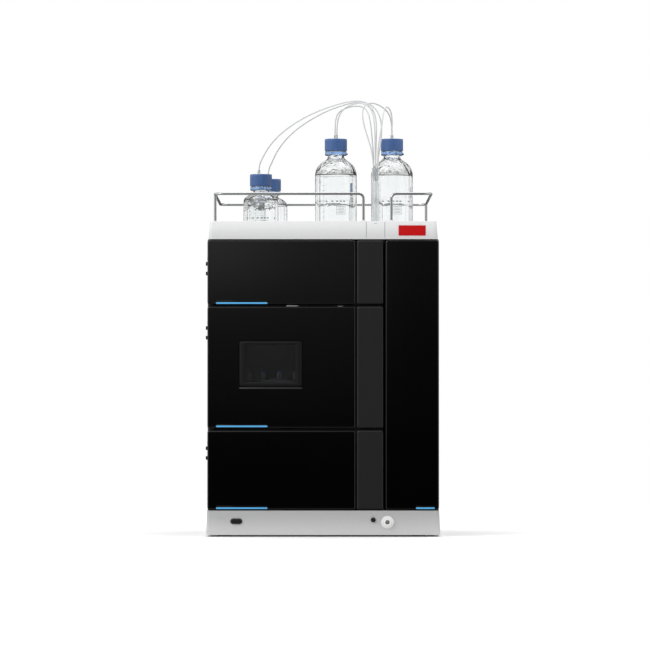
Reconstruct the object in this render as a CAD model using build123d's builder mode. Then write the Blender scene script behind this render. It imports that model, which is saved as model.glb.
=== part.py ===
from build123d import *
import os
from math import pi, radians, tan

os.makedirs("parts", exist_ok=True)

# Bench-top liquid chromatography tower: three stacked modules (pump, autosampler, detector) beside a
# full-height column compartment, on a common base, with a solvent rack on top.
# Millimetres, +Z up, front towards -Y, origin at the bottom centre of the bounding box.

# ---------------------------------------------------------------- driving dimensions
# Tower
module_width = 420.0
column_width = 128.0
stack_gap = 5.0             # pull gap between the module doors and the column door
cabinet_depth = 620.0       # front of the doors to the rear panels
pump_height = 194.0
sampler_height = 296.0
detector_height = 158.0
running_clearance = 0.05    # radial, shaft in bore
seat_clearance = 0.3        # between bodies that move past each other

# Base
foot_height = 4.0
foot_radius = 18.0
foot_inset = 45.0
foot_seat = 2.0             # how far a foot is let into the base
base_height = 58.0
base_margin = 0.5           # the base's top stands out this far all round
skirt_flare = 2.6           # and its bottom this much further
base_corner = 6.0

# Doors
door_depth = 28.0
door_gap = 2.0              # back of a door to the front of its enclosure
door_reveal = 2.5           # enclosure top or bottom to the door's edge
door_wall = 3.0
door_corner = 5.0
door_round = 4.0
liner_thickness = 6.0
liner_recess = 2.0
liner_border = 26.0
strip_width = 63.3          # matte strip on the opening side of a module door
groove_width = 2.9          # between the glossy panel and the strip
light_length = 122.7
light_height = 5.0
light_inset = 20.7          # door's left edge to the light bar
light_rise = 6.5            # door's bottom edge to the bar's middle
light_proud = 0.3
column_light_length = 45.3
column_light_inset = 10.2   # door's right edge to the bar

# Hinges
hinge_inset = 9.0           # door's edge to the pin
hinge_setback = 14.0        # door's front to the pin
hinge_pin_radius = 2.5
hinge_pin_length = 11.0
hinge_barrel_radius = 6.5
hinge_leaf_thickness = 1.8
hinge_leaf_width = 13.0
hinge_leaf_length = 30.0    # behind the front of the enclosure

# Sampler window
window_width = 152.0
window_height = 111.0
window_corner = 7.0
window_x = 151.2            # door's left edge to the window's middle
window_rise = 153.2         # door's bottom edge to the window's middle
window_border = 18.0        # black margin round the clear part
glass_thickness = 4.0
glass_sink = 0.4
glass_clearance = 0.2

# Bays
bay_margin = 12.0
bay_corner = 8.0
pump_bay_depth = 150.0
sampler_bay_depth = 370.0
detector_bay_depth = 130.0
column_bay_depth = 150.0
enclosure_round = 3.0
vent_length = 70.0
vent_height = 4.0
vent_pitch = 11.0
vent_rows = 7
vent_depth = 5.0

# Solvent rack
rack_height = 43.3
rack_inset = 2.3            # stack's edge to the rack's foot
rack_taper = 5.0            # degrees
rack_floor = 3.0
rack_rim = 24.0
rack_corner = 10.0
rack_left_end = 102.6       # tower's centreline to the seams of the centre channel
rack_right_end = 147.5
rack_seam_wall = 5.0
rail_wire = 6.5
rail_rise = 69.0            # rack's top to the rail's middle
rail_inset = 15.5           # rack's foot to the rail's middle
rail_corner = 20.0
rail_bend = 12.0
rail_left_leg = 96.4
rail_right_leg = 163.2
rail_seat = 14.0            # how deep a leg stands in the rack
guide_width = 17.5
guide_depth = 12.0
guide_wall = 1.6
guide_height = 128.0        # above the rack's top
guide_seat = 10.0
guide_setback = 20.0        # rack's foot to the guide's middle
comb_height = 8.0
comb_drop = 26.0            # guide's top to the comb's top
line_pitch_x = 4.3
line_pitch_y = 4.6

# ---------------------------------------------------------------- places worked out from them
stack_width = module_width + stack_gap + column_width
clip_reach = 12.5           # how far the side clips stand out on the left
nozzle_reach = 12.0         # how far the large drain nozzle stands out in front of the doors
skirt_reach = base_margin + skirt_flare
tower_x = (clip_reach - skirt_reach) / 2
front_y = nozzle_reach - (nozzle_reach + cabinet_depth + skirt_reach) / 2
rear_y = front_y + cabinet_depth
stack_left = tower_x - stack_width / 2
stack_right = stack_left + stack_width
module_right = stack_left + module_width
column_left = module_right + stack_gap
enclosure_y = front_y + door_depth + door_gap
enclosure_depth = rear_y - enclosure_y
base_z = foot_height
pump_z = base_z + base_height
sampler_z = pump_z + pump_height
detector_z = sampler_z + sampler_height
rack_z = detector_z + detector_height
stack_height = rack_z - pump_z
panel_width = module_width - groove_width - strip_width
shell_depth = door_depth - liner_thickness
hinge_y = front_y + hinge_setback
module_hinge_x = stack_left + hinge_inset
column_hinge_x = stack_right - hinge_inset


def front_plane(y):
    """Plane facing the front at depth y, with local x along X and local y along Z."""
    return Plane.XZ.offset(-y)


def save(part, label):
    """Label one finished piece and write it as its own STEP file."""
    part.label = label
    export_step(part, f"parts/{label}.step")


# ---------------------------------------------------------------- base
foot_x = stack_width / 2 - foot_inset
foot_y = cabinet_depth / 2 - foot_inset
tower_y = (front_y + rear_y) / 2
foot_places = GridLocations(2 * foot_x, 2 * foot_y, 2, 2)

switch_width = 28.4
switch_height = 13.4
switch_x = stack_left + 69.3        # middle of the switch
switch_z = base_z + 32.7
switch_depth = 12.0
switch_rim = 2.6
button_proud = 1.2
button_travel = 2.0
button_stem = 8.0
status_width = 18.0
status_height = 21.0
status_x = stack_left + 33.5
status_z = base_z + 31.5
status_thickness = 2.0
status_slot_length = 8.7
status_slot_height = 2.0
status_slot_rise = 6.7
small_port_inset = 24.0     # right edge of the module doors to the port's middle
large_port_outset = 9.7
small_port_x = module_right - small_port_inset
small_port_z = base_z + 36.0
small_port_radius = 5.8
small_port_bore = 3.2
small_port_length = 14.0
large_port_x = module_right + large_port_outset
large_port_z = base_z + 30.5
large_port_flange = 15.0
large_port_radius = 9.5
large_port_bore = 5.35
large_port_length = 22.0
flange_thickness = 4.0
port_seat = 2.0             # front of the doors to the flange's seat in the base
inlet_width = 48.0
inlet_height = 28.0
inlet_depth = 20.0
inlet_x = tower_x + 190.0
base_front_middle = front_y - base_margin - skirt_flare / 2

with BuildPart() as base_housing:
    with BuildSketch(Plane.XY.offset(base_z + base_height)) as base_top:
        with Locations((tower_x, tower_y)):
            RectangleRounded(stack_width + 2 * base_margin, cabinet_depth + 2 * base_margin, base_corner)
    with BuildSketch(Plane.XY.offset(base_z)) as base_bottom:
        with Locations((tower_x, tower_y)):
            RectangleRounded(stack_width + 2 * skirt_reach, cabinet_depth + 2 * skirt_reach,
                             base_corner + skirt_flare)
    loft()
    with BuildSketch(Plane.XY.offset(base_z)):
        with Locations(Location((tower_x, tower_y))):
            with foot_places:
                Circle(foot_radius + glass_clearance)
    extrude(amount=foot_seat, mode=Mode.SUBTRACT)
    with BuildSketch(front_plane(base_front_middle - skirt_flare)):
        with Locations((switch_x, switch_z)):
            RectangleRounded(switch_width, switch_height, switch_height / 2 - 0.1)
    extrude(amount=-(switch_depth + skirt_flare), mode=Mode.SUBTRACT)
    with BuildSketch(front_plane(base_front_middle - skirt_flare)):
        with Locations((status_x, status_z)):
            RectangleRounded(status_width, status_height, 2.0)
    extrude(amount=-(status_thickness + skirt_flare), mode=Mode.SUBTRACT)
    with BuildSketch(front_plane(front_y + small_port_length)):
        with Locations((small_port_x, small_port_z)):
            Circle(small_port_radius)
    extrude(amount=small_port_length + nozzle_reach, mode=Mode.SUBTRACT)
    with BuildSketch(front_plane(front_y + port_seat)):
        with Locations((large_port_x, large_port_z)):
            Circle(large_port_flange)
    extrude(amount=port_seat + nozzle_reach, mode=Mode.SUBTRACT)
    with BuildSketch(front_plane(front_y + large_port_length - nozzle_reach)):
        with Locations((large_port_x, large_port_z)):
            Circle(large_port_radius)
    extrude(amount=large_port_length, mode=Mode.SUBTRACT)
    with BuildSketch(front_plane(rear_y - inlet_depth)):
        with Locations((inlet_x, base_z + base_height / 2)):
            RectangleRounded(inlet_width, inlet_height, 4.0)
    extrude(amount=-(inlet_depth + 2 * skirt_reach), mode=Mode.SUBTRACT)
save(base_housing.part, "base_housing")

with BuildPart() as base_feet:
    with BuildSketch(Plane.XY):
        with Locations(Location((tower_x, tower_y))):
            with foot_places:
                Circle(foot_radius)
    extrude(amount=foot_height + foot_seat)
    chamfer(base_feet.edges().group_by(Axis.Z)[0], 1.0)
save(base_feet.part, "base_feet")

with BuildPart() as power_switch_bezel:
    with BuildSketch(front_plane(base_front_middle + switch_depth - skirt_flare)):
        with Locations((switch_x, switch_z)):
            RectangleRounded(switch_width, switch_height, switch_height / 2 - 0.1)
    extrude(amount=switch_depth)
    with BuildSketch(power_switch_bezel.faces().sort_by(Axis.Y)[0]):
        RectangleRounded(switch_width - 2 * switch_rim, switch_height - 2 * switch_rim,
                         switch_height / 2 - switch_rim - 0.1)
    extrude(amount=-button_stem - button_travel, mode=Mode.SUBTRACT)
save(power_switch_bezel.part, "power_switch_bezel")

button_y = power_switch_bezel.faces().sort_by(Axis.Y)[0].center().Y
with BuildPart() as power_button:
    with BuildSketch(front_plane(button_y - button_proud)):
        with Locations((switch_x, switch_z)):
            RectangleRounded(switch_width - 2 * switch_rim - 2 * glass_clearance,
                             switch_height - 2 * switch_rim - 2 * glass_clearance,
                             switch_height / 2 - switch_rim - glass_clearance - 0.1)
    extrude(amount=-(button_stem + button_proud - 0.2))
    fillet(power_button.edges().group_by(Axis.Y)[0], 0.8)
save(power_button.part, "power_button")

with BuildPart() as status_plate:
    with BuildSketch(front_plane(base_front_middle + status_thickness)):
        with Locations((status_x, status_z)):
            RectangleRounded(status_width, status_height, 2.0)
    extrude(amount=status_thickness + 0.4)
    with BuildSketch(status_plate.faces().sort_by(Axis.Y)[0]):
        with Locations((0, status_slot_rise)):
            SlotOverall(status_slot_length, status_slot_height)
    extrude(amount=-0.8, mode=Mode.SUBTRACT)
save(status_plate.part, "status_plate")

with BuildPart() as drain_port_small:
    with BuildSketch(front_plane(front_y + small_port_length)):
        with Locations((small_port_x, small_port_z)):
            Circle(small_port_radius)
            Circle(small_port_bore, mode=Mode.SUBTRACT)
    extrude(amount=small_port_length + skirt_reach + 1.5)
save(drain_port_small.part, "drain_port_small")

with BuildPart() as drain_port_large:
    with BuildSketch(front_plane(front_y + port_seat)):
        with Locations((large_port_x, large_port_z)):
            Circle(large_port_flange)
    extrude(amount=port_seat + flange_thickness)
    with BuildSketch(front_plane(front_y + large_port_length - nozzle_reach)):
        with Locations((large_port_x, large_port_z)):
            Circle(large_port_radius)
    extrude(amount=large_port_length)
    with BuildSketch(front_plane(front_y - nozzle_reach)):
        with Locations((large_port_x, large_port_z)):
            Circle(large_port_bore)
    extrude(amount=-(large_port_length - 3.0), mode=Mode.SUBTRACT)
    fillet(drain_port_large.edges().group_by(Axis.Y)[0].sort_by(SortBy.RADIUS)[-1], 1.0)
save(drain_port_large.part, "drain_port_large")


# ---------------------------------------------------------------- enclosures
leaf_slot = hinge_leaf_thickness + 0.4      # rebate for a hinge leaf in the top or underside
bay_floor = bay_margin                      # thickness of the floor under each bay


def make_enclosure(left, width, z, height, bay_depth, hinge_x):
    """Housing of one unit: solid casing with an open bay at the front and vents at the back."""
    middle = left + width / 2
    with BuildPart() as enclosure:
        with BuildSketch(Plane.XY.offset(z)):
            with Locations((middle, enclosure_y + enclosure_depth / 2)):
                RectangleRounded(width, enclosure_depth, enclosure_round)
        extrude(amount=height)
        with BuildSketch(front_plane(enclosure_y)):
            with Locations((middle, z + height / 2)):
                RectangleRounded(width - 2 * bay_margin, height - 2 * bay_margin, bay_corner)
        extrude(amount=-bay_depth, mode=Mode.SUBTRACT)
        with BuildSketch(front_plane(rear_y - vent_depth)):
            with Locations((middle, z + height / 2)):
                with GridLocations(0, vent_pitch, 1, vent_rows):
                    SlotOverall(vent_length, vent_height)
        extrude(amount=-vent_depth, mode=Mode.SUBTRACT)
        for leaf_z in (z, z + height - leaf_slot):
            with BuildSketch(Plane.XY.offset(leaf_z)):
                with Locations((hinge_x, enclosure_y)):
                    Rectangle(hinge_leaf_width + 2 * glass_clearance,
                              2 * (hinge_leaf_length + glass_clearance))
            extrude(amount=leaf_slot, mode=Mode.SUBTRACT)
    return enclosure


# ---------------------------------------------------------------- doors
def make_shell(left, width, z, height):
    """Door moulding, open at the back, with rounded front edges."""
    with BuildPart() as shell:
        with BuildSketch(front_plane(front_y)):
            with Locations((left + width / 2, z + height / 2)):
                RectangleRounded(width, height, door_corner)
        extrude(amount=-shell_depth)
        fillet(shell.edges().group_by(Axis.Y)[0], door_round)
        offset(amount=-door_wall, openings=shell.faces().sort_by(Axis.Y)[-1])
    return shell


def make_glossy_shell(left, width, z, height, hinge_x, light_left, light_span):
    """Glossy door moulding with its hinge barrel and the slot of its light bar."""
    shell = make_shell(left, width, z, height)
    with BuildPart() as door:
        add(shell.part)
        with BuildSketch(Plane.XY.offset(z + door_wall / 2)):
            with Locations((hinge_x, hinge_y)):
                Circle(hinge_barrel_radius)
        extrude(amount=height - door_wall)
        for pin_z, way in ((z, 1), (z + height, -1)):
            with BuildSketch(Plane.XY.offset(pin_z)):
                with Locations((hinge_x, hinge_y)):
                    Circle(hinge_pin_radius + running_clearance)
            extrude(amount=way * (hinge_pin_length + 2.0), mode=Mode.SUBTRACT)
        with BuildSketch(front_plane(front_y)):
            with Locations((light_left + light_span / 2, z + light_rise)):
                SlotOverall(light_span + 2 * glass_clearance, light_height + 2 * glass_clearance)
        extrude(amount=-door_wall, mode=Mode.SUBTRACT)
    return door


def make_light_bar(light_left, light_span, z):
    """Light guide in the lower edge of a door, with a flange behind the door's front wall."""
    with BuildPart() as bar:
        with BuildSketch(front_plane(front_y - light_proud)):
            with Locations((light_left + light_span / 2, z + light_rise)):
                SlotOverall(light_span, light_height)
        extrude(amount=-(door_wall + light_proud))
        with BuildSketch(front_plane(front_y + door_wall)):
            with Locations((light_left + light_span / 2, z + light_rise + 1.0)):
                SlotOverall(light_span + 6.0, light_height + 1.0)
        extrude(amount=-2.0)
    return bar


def make_liner(left, width, z, height, hinge_x):
    """Inner panel that closes the back of a door, with a shallow pressed field."""
    with BuildPart() as liner:
        with BuildSketch(front_plane(front_y + shell_depth)):
            with Locations((left + width / 2, z + height / 2)):
                RectangleRounded(width, height, door_corner)
        extrude(amount=-liner_thickness)
        fillet(liner.edges().group_by(Axis.Y)[-1], liner_thickness - 1.0)
        with BuildSketch(front_plane(front_y + door_depth)):
            with Locations((left + width / 2, z + height / 2)):
                RectangleRounded(width - 2 * liner_border, height - 2 * liner_border, door_corner)
        extrude(amount=liner_recess, mode=Mode.SUBTRACT)
    return liner


def make_hinge(hinge_x, z, height):
    """Two hinge leaves, above and below a door, each let into the enclosure with its pin."""
    with BuildPart() as hinge:
        for leaf_z, pin_z in ((z + 0.4, z + 0.4),
                              (z + height - leaf_slot, z + height - leaf_slot - hinge_pin_length)):
            with BuildSketch(Plane.XY.offset(leaf_z)):
                with Locations((hinge_x, hinge_y)):
                    Circle(hinge_leaf_width / 2)
                leaf_reach = enclosure_y + hinge_leaf_length - hinge_y
                with Locations((hinge_x, hinge_y + leaf_reach / 2)):
                    Rectangle(hinge_leaf_width, leaf_reach)
            extrude(amount=hinge_leaf_thickness)
            with BuildSketch(Plane.XY.offset(pin_z)):
                with Locations((hinge_x, hinge_y)):
                    Circle(hinge_pin_radius)
            extrude(amount=hinge_leaf_thickness + hinge_pin_length)
    return hinge


# name: (z, height, depth of the bay)
modules = {
    "pump": (pump_z, pump_height, pump_bay_depth),
    "sampler": (sampler_z, sampler_height, sampler_bay_depth),
    "detector": (detector_z, detector_height, detector_bay_depth),
}
enclosures = {}
panels = {}
for name, (unit_z, unit_height, bay_depth) in modules.items():
    door_z = unit_z + door_reveal
    door_height = unit_height - 2 * door_reveal
    enclosures[name] = make_enclosure(stack_left, module_width, unit_z, unit_height, bay_depth,
                                      module_hinge_x)
    panels[name] = make_glossy_shell(stack_left, panel_width, door_z, door_height, module_hinge_x,
                                     stack_left + light_inset, light_length)
    strip = make_shell(module_right - strip_width, strip_width, door_z, door_height)
    save(strip.part, f"{name}_door_strip")
    bar = make_light_bar(stack_left + light_inset, light_length, door_z)
    save(bar.part, f"{name}_light_bar")
save(panels["pump"].part, "pump_door_panel")
save(panels["detector"].part, "detector_door_panel")

column_door_z = pump_z + door_reveal
column_door_height = stack_height - 2 * door_reveal
column_light_left = stack_right - column_light_inset - column_light_length
column_panel = make_glossy_shell(column_left, column_width, column_door_z, column_door_height,
                                 column_hinge_x, column_light_left, column_light_length)
save(column_panel.part, "column_door_panel")
column_bar = make_light_bar(column_light_left, column_light_length, column_door_z)
save(column_bar.part, "column_light_bar")

for name, (unit_z, unit_height, _) in modules.items():
    liner = make_liner(stack_left, module_width, unit_z + door_reveal,
                       unit_height - 2 * door_reveal, module_hinge_x)
    if name == "sampler":
        sampler_liner = liner
    else:
        save(liner.part, f"{name}_door_liner")
column_liner = make_liner(column_left, column_width, column_door_z, column_door_height, column_hinge_x)
save(column_liner.part, "column_door_liner")

# Sampler door: the window's opening, a ledge for the pane and a tunnel through the door
window_mid_x = stack_left + window_x
window_mid_z = sampler_z + door_reveal + window_rise
clear_width = window_width - 2 * window_border
clear_height = window_height - window_border
clear_z = window_mid_z + 2.0
with BuildPart() as sampler_panel:
    add(panels["sampler"].part)
    with BuildSketch(front_plane(front_y + door_wall / 2)):
        with Locations((window_mid_x, window_mid_z)):
            RectangleRounded(window_width + 2 * door_wall, window_height + 2 * door_wall,
                             window_corner + door_wall)
    extrude(amount=-(shell_depth - door_wall / 2))
    with BuildSketch(front_plane(front_y)):
        with Locations((window_mid_x, window_mid_z)):
            RectangleRounded(window_width, window_height, window_corner)
    extrude(amount=-(glass_thickness + glass_sink), mode=Mode.SUBTRACT)
    with BuildSketch(front_plane(front_y)):
        with Locations((window_mid_x, clear_z)):
            RectangleRounded(clear_width, clear_height, window_corner)
    extrude(amount=-shell_depth, mode=Mode.SUBTRACT)
    with BuildSketch(front_plane(front_y + shell_depth)):
        with Locations((window_mid_x, window_mid_z)):
            RectangleRounded(window_width, window_height, window_corner)
        with Locations((window_mid_x, clear_z)):
            RectangleRounded(clear_width + 2 * door_wall, clear_height + 2 * door_wall,
                             window_corner + door_wall, mode=Mode.SUBTRACT)
    extrude(amount=shell_depth - glass_thickness - glass_sink - door_wall, mode=Mode.SUBTRACT)
save(sampler_panel.part, "sampler_door_panel")

with BuildPart() as sampler_door_liner:
    add(sampler_liner.part)
    with BuildSketch(front_plane(front_y + shell_depth)):
        with Locations((window_mid_x, clear_z)):
            RectangleRounded(clear_width, clear_height, window_corner)
    extrude(amount=-liner_thickness, mode=Mode.SUBTRACT)
save(sampler_door_liner.part, "sampler_door_liner")

with BuildPart() as sampler_window:
    with BuildSketch(front_plane(front_y + glass_sink)):
        with Locations((window_mid_x, window_mid_z)):
            RectangleRounded(window_width - 2 * glass_clearance, window_height - 2 * glass_clearance,
                             window_corner - glass_clearance)
    extrude(amount=-glass_thickness)
    chamfer(sampler_window.edges().group_by(Axis.Y)[0], 0.6)
save(sampler_window.part, "sampler_window")

with BuildPart() as module_hinges:
    for unit_z, unit_height, _ in modules.values():
        add(make_hinge(module_hinge_x, unit_z, unit_height).part)
save(module_hinges.part, "module_hinges")
save(make_hinge(column_hinge_x, pump_z, stack_height).part, "column_hinges")

save(enclosures["pump"].part, "pump_enclosure")
save(enclosures["detector"].part, "detector_enclosure")
column_enclosure = make_enclosure(column_left, column_width, pump_z, stack_height, column_bay_depth,
                                  column_hinge_x)
save(column_enclosure.part, "column_enclosure")


# ---------------------------------------------------------------- pump bay
bay_back = enclosure_y + pump_bay_depth
pump_middle_z = pump_z + pump_height / 2
head_xs = (stack_left + 92.0, stack_left + 192.0)
drive_radius = 34.0
drive_length = 46.0
head_radius = 26.0
head_length = 36.0
valve_radius = 9.0
valve_length = 24.0
valve_setback = 16.0        # front of a pump head to its check valves
purge_x = stack_left + 292.0
purge_size = 48.0
purge_depth = 62.0
purge_stem_radius = 5.0
purge_stem_length = 20.0
knob_radius = 18.0
knob_length = 20.0
knob_flutes = 12
knob_flute_radius = 2.4

with BuildPart() as pump_heads:
    for head_x in head_xs:
        with BuildSketch(front_plane(bay_back)):
            with Locations((head_x, pump_middle_z)):
                Circle(drive_radius)
        extrude(amount=drive_length)
        with BuildSketch(front_plane(bay_back - drive_length)):
            with Locations((head_x, pump_middle_z)):
                Circle(head_radius)
        extrude(amount=head_length)
        with BuildSketch(Plane.XY.offset(pump_middle_z - head_radius - valve_length)):
            with Locations((head_x, bay_back - drive_length - head_length + valve_setback)):
                RegularPolygon(valve_radius, 6)
        extrude(amount=2 * (head_radius + valve_length))
    chamfer(pump_heads.edges().group_by(Axis.Y)[0], 1.5)
save(pump_heads.part, "pump_heads")

knob_back = bay_back - purge_depth
with BuildPart() as purge_block:
    with BuildSketch(front_plane(bay_back)):
        with Locations((purge_x, pump_middle_z)):
            RectangleRounded(purge_size, purge_size, 4.0)
    extrude(amount=purge_depth)
    chamfer(purge_block.edges().group_by(Axis.Y)[0], 1.5)
    with BuildSketch(front_plane(knob_back)):
        with Locations((purge_x, pump_middle_z)):
            Circle(purge_stem_radius + running_clearance)
    extrude(amount=-purge_stem_length, mode=Mode.SUBTRACT)
save(purge_block.part, "purge_block")

with BuildPart() as purge_knob:
    with BuildSketch(front_plane(knob_back - seat_clearance)):
        with Locations((purge_x, pump_middle_z)):
            Circle(knob_radius)
            with PolarLocations(knob_radius + knob_flute_radius / 3, knob_flutes):
                Circle(knob_flute_radius, mode=Mode.SUBTRACT)
    extrude(amount=knob_length)
    chamfer(purge_knob.edges().group_by(Axis.Y)[0], 1.0)
    with BuildSketch(front_plane(knob_back - seat_clearance)):
        with Locations((purge_x, pump_middle_z)):
            Circle(purge_stem_radius)
    extrude(amount=-(purge_stem_length - 1.0))
save(purge_knob.part, "purge_knob")

# ---------------------------------------------------------------- sampler bay
sampler_floor = sampler_z + bay_floor
bearing_depth = 8.0
carousel_x = stack_left + 170.0
carousel_y = enclosure_y + 164.0
spindle_radius = 12.0
tray_radius = 140.0
tray_rise = 106.0           # bay's floor to the top of the tray
tray_thickness = 12.0
base_disc_rise = 20.0
base_disc_radius = 132.0
hub_radius = 26.0
vial_count = 20
vial_ring = 122.0
vial_radius = 5.8
vial_seat = 8.0
vial_height = 32.0
vial_clearance = 0.3
vial_body = 23.0
vial_shoulder = 3.0
vial_neck_radius = 3.6
vial_crimp = 27.0           # vial's foot to its crimp cap
vial_crimp_radius = 5.4
arm_x = stack_left + 322.0
arm_y = enclosure_y + 300.0
arm_post_radius = 9.0
arm_rise = 176.0            # bay's floor to the top of the post
arm_thickness = 14.0
arm_width = 16.0
needle_gap = 4.0            # needle's tip above the vials
needle_radius = 1.2
needle_holder_radius = 6.0
needle_holder_length = 18.0
injector_radius = 30.0
injector_length = 58.0
injector_y = enclosure_y + 196.0
injector_rise = 132.0
injector_ports = 6
injector_port_ring = 16.0
injector_port_radius = 4.0
injector_port_length = 12.0

vial_top = sampler_floor + tray_rise - vial_seat + vial_height
arm_top = sampler_floor + arm_rise

with BuildPart() as sampler_enclosure:
    add(enclosures["sampler"].part)
    with BuildSketch(Plane.XY.offset(sampler_floor)):
        with Locations((carousel_x, carousel_y)):
            Circle(spindle_radius + running_clearance)
        with Locations((arm_x, arm_y)):
            Circle(arm_post_radius + running_clearance)
    extrude(amount=-bearing_depth, mode=Mode.SUBTRACT)
save(sampler_enclosure.part, "sampler_enclosure")

with BuildPart() as sampler_carousel:
    with BuildSketch(Plane.XY.offset(sampler_floor - bearing_depth + seat_clearance)):
        with Locations((carousel_x, carousel_y)):
            Circle(spindle_radius)
    extrude(amount=tray_rise + bearing_depth - seat_clearance)
    with BuildSketch(Plane.XY.offset(sampler_floor + seat_clearance)):
        with Locations((carousel_x, carousel_y)):
            Circle(hub_radius)
    extrude(amount=tray_rise + 6.0)
    with BuildSketch(Plane.XY.offset(sampler_floor + base_disc_rise)):
        with Locations((carousel_x, carousel_y)):
            Circle(base_disc_radius)
    extrude(amount=tray_thickness / 2)
    with BuildSketch(Plane.XY.offset(sampler_floor + tray_rise - tray_thickness)):
        with Locations((carousel_x, carousel_y)):
            Circle(tray_radius)
    extrude(amount=tray_thickness)
    with BuildSketch(Plane.XY.offset(sampler_floor + tray_rise)):
        with Locations((carousel_x, carousel_y)):
            with PolarLocations(vial_ring, vial_count):
                Circle(vial_radius + vial_clearance)
    extrude(amount=-vial_seat, mode=Mode.SUBTRACT)
save(sampler_carousel.part, "sampler_carousel")

with BuildPart() as sample_vials:
    with BuildSketch(Plane.XZ) as vial_profile:
        with BuildLine():
            Polyline((0, 0), (vial_radius, 0), (vial_radius, vial_body),
                     (vial_neck_radius, vial_body + vial_shoulder), (vial_neck_radius, vial_crimp),
                     (vial_crimp_radius, vial_crimp), (vial_crimp_radius, vial_height),
                     (0, vial_height), close=True)
        make_face()
    vial = revolve(vial_profile.sketch, axis=Axis.Z, mode=Mode.PRIVATE)
    with Locations((carousel_x, carousel_y, sampler_floor + tray_rise - vial_seat)):
        with PolarLocations(vial_ring, vial_count):
            add(vial)
save(sample_vials.part, "sample_vials")

# The needle hangs over the vial ring on the line from the arm's post to the carousel's middle
arm_vector = Vector(carousel_x - arm_x, carousel_y - arm_y, 0)
arm_reach = arm_vector.length - vial_ring
needle_place = Vector(arm_x, arm_y, 0) + arm_vector.normalized() * arm_reach
arm_angle = Vector(1, 0, 0).get_signed_angle(arm_vector, Vector(0, 0, 1))
with BuildPart() as needle_arm:
    with BuildSketch(Plane.XY.offset(sampler_floor - bearing_depth + seat_clearance)):
        with Locations((arm_x, arm_y)):
            Circle(arm_post_radius)
    extrude(amount=arm_rise + bearing_depth - seat_clearance)
    with BuildSketch(Plane.XY.offset(arm_top - arm_thickness)):
        with Locations(Location((arm_x, arm_y, 0), (0, 0, arm_angle))):
            with Locations((arm_reach / 2, 0)):
                SlotCenterToCenter(arm_reach, arm_width)
    extrude(amount=arm_thickness)
    with BuildSketch(Plane.XY.offset(arm_top - arm_thickness - needle_holder_length)):
        with Locations((needle_place.X, needle_place.Y)):
            Circle(needle_holder_radius)
    extrude(amount=needle_holder_length + arm_thickness + 4.0)
    with BuildSketch(Plane.XY.offset(vial_top + needle_gap)):
        with Locations((needle_place.X, needle_place.Y)):
            Circle(needle_radius)
    extrude(amount=arm_top - vial_top - needle_gap)
save(needle_arm.part, "needle_arm")

injector_wall = module_right - bay_margin
injector_z = sampler_floor + injector_rise
with BuildPart() as injection_valve:
    with BuildSketch(Plane.YZ.offset(injector_wall)):
        with Locations((injector_y, injector_z)):
            Circle(injector_radius)
    extrude(amount=-injector_length)
    with BuildSketch(Plane.YZ.offset(injector_wall - injector_length)):
        with Locations((injector_y, injector_z)):
            with PolarLocations(injector_port_ring, injector_ports):
                RegularPolygon(injector_port_radius, 6)
    extrude(amount=-injector_port_length)
save(injection_valve.part, "injection_valve")

# ---------------------------------------------------------------- detector bay
detector_back = enclosure_y + detector_bay_depth
detector_middle_z = detector_z + detector_height / 2
cell_x = stack_left + 300.0
cell_width = 74.0
cell_height = 58.0
cell_depth = 62.0
cell_screw_radius = 7.0
cell_screw_length = 14.0
cell_screw_pitch = 52.0
cell_fitting_radius = 4.5
cell_fitting_length = 16.0
lamp_x = stack_left + 128.0
lamp_width = 132.0
lamp_height = 92.0
lamp_depth = 54.0
lamp_fin_count = 7
lamp_fin_gap = 5.0
lamp_fin_depth = 8.0

with BuildPart() as flow_cell:
    with BuildSketch(front_plane(detector_back)):
        with Locations((cell_x, detector_middle_z)):
            RectangleRounded(cell_width, cell_height, 5.0)
    extrude(amount=cell_depth)
    chamfer(flow_cell.edges().group_by(Axis.Y)[0], 1.5)
    with BuildSketch(front_plane(detector_back - cell_depth)):
        with Locations((cell_x, detector_middle_z)):
            with GridLocations(cell_screw_pitch, 0, 2, 1):
                Circle(cell_screw_radius)
    extrude(amount=cell_screw_length)
    with BuildSketch(Plane.XY.offset(detector_middle_z - cell_height / 2 - cell_fitting_length)):
        with Locations((cell_x, detector_back - cell_depth / 2)):
            RegularPolygon(cell_fitting_radius, 6)
    extrude(amount=cell_height + 2 * cell_fitting_length)
save(flow_cell.part, "flow_cell")

with BuildPart() as lamp_cover:
    with BuildSketch(front_plane(detector_back)):
        with Locations((lamp_x, detector_middle_z)):
            RectangleRounded(lamp_width, lamp_height, 6.0)
    extrude(amount=lamp_depth)
    fillet(lamp_cover.edges().group_by(Axis.Y)[0], 2.0)
    with BuildSketch(front_plane(detector_back - lamp_depth)):
        with Locations((lamp_x, detector_middle_z)):
            with GridLocations(0, 2.2 * lamp_fin_gap, 1, lamp_fin_count):
                SlotOverall(0.7 * lamp_width, lamp_fin_gap)
    extrude(amount=-lamp_fin_depth, mode=Mode.SUBTRACT)
save(lamp_cover.part, "lamp_cover")

# ---------------------------------------------------------------- column bay
column_back = enclosure_y + column_bay_depth
column_middle_x = column_left + column_width / 2
column_middle_z = (pump_z + rack_z) / 2
heater_width = 56.0
heater_depth = 60.0
heater_height = 420.0
trough_radius = 15.0
clamp_thickness = 14.0
clamp_pitch = 190.0
column_radius = 4.8
column_length = 250.0
end_fitting_radius = 8.0
end_fitting_length = 22.0
end_nut_radius = 4.0
end_nut_length = 14.0

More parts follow.
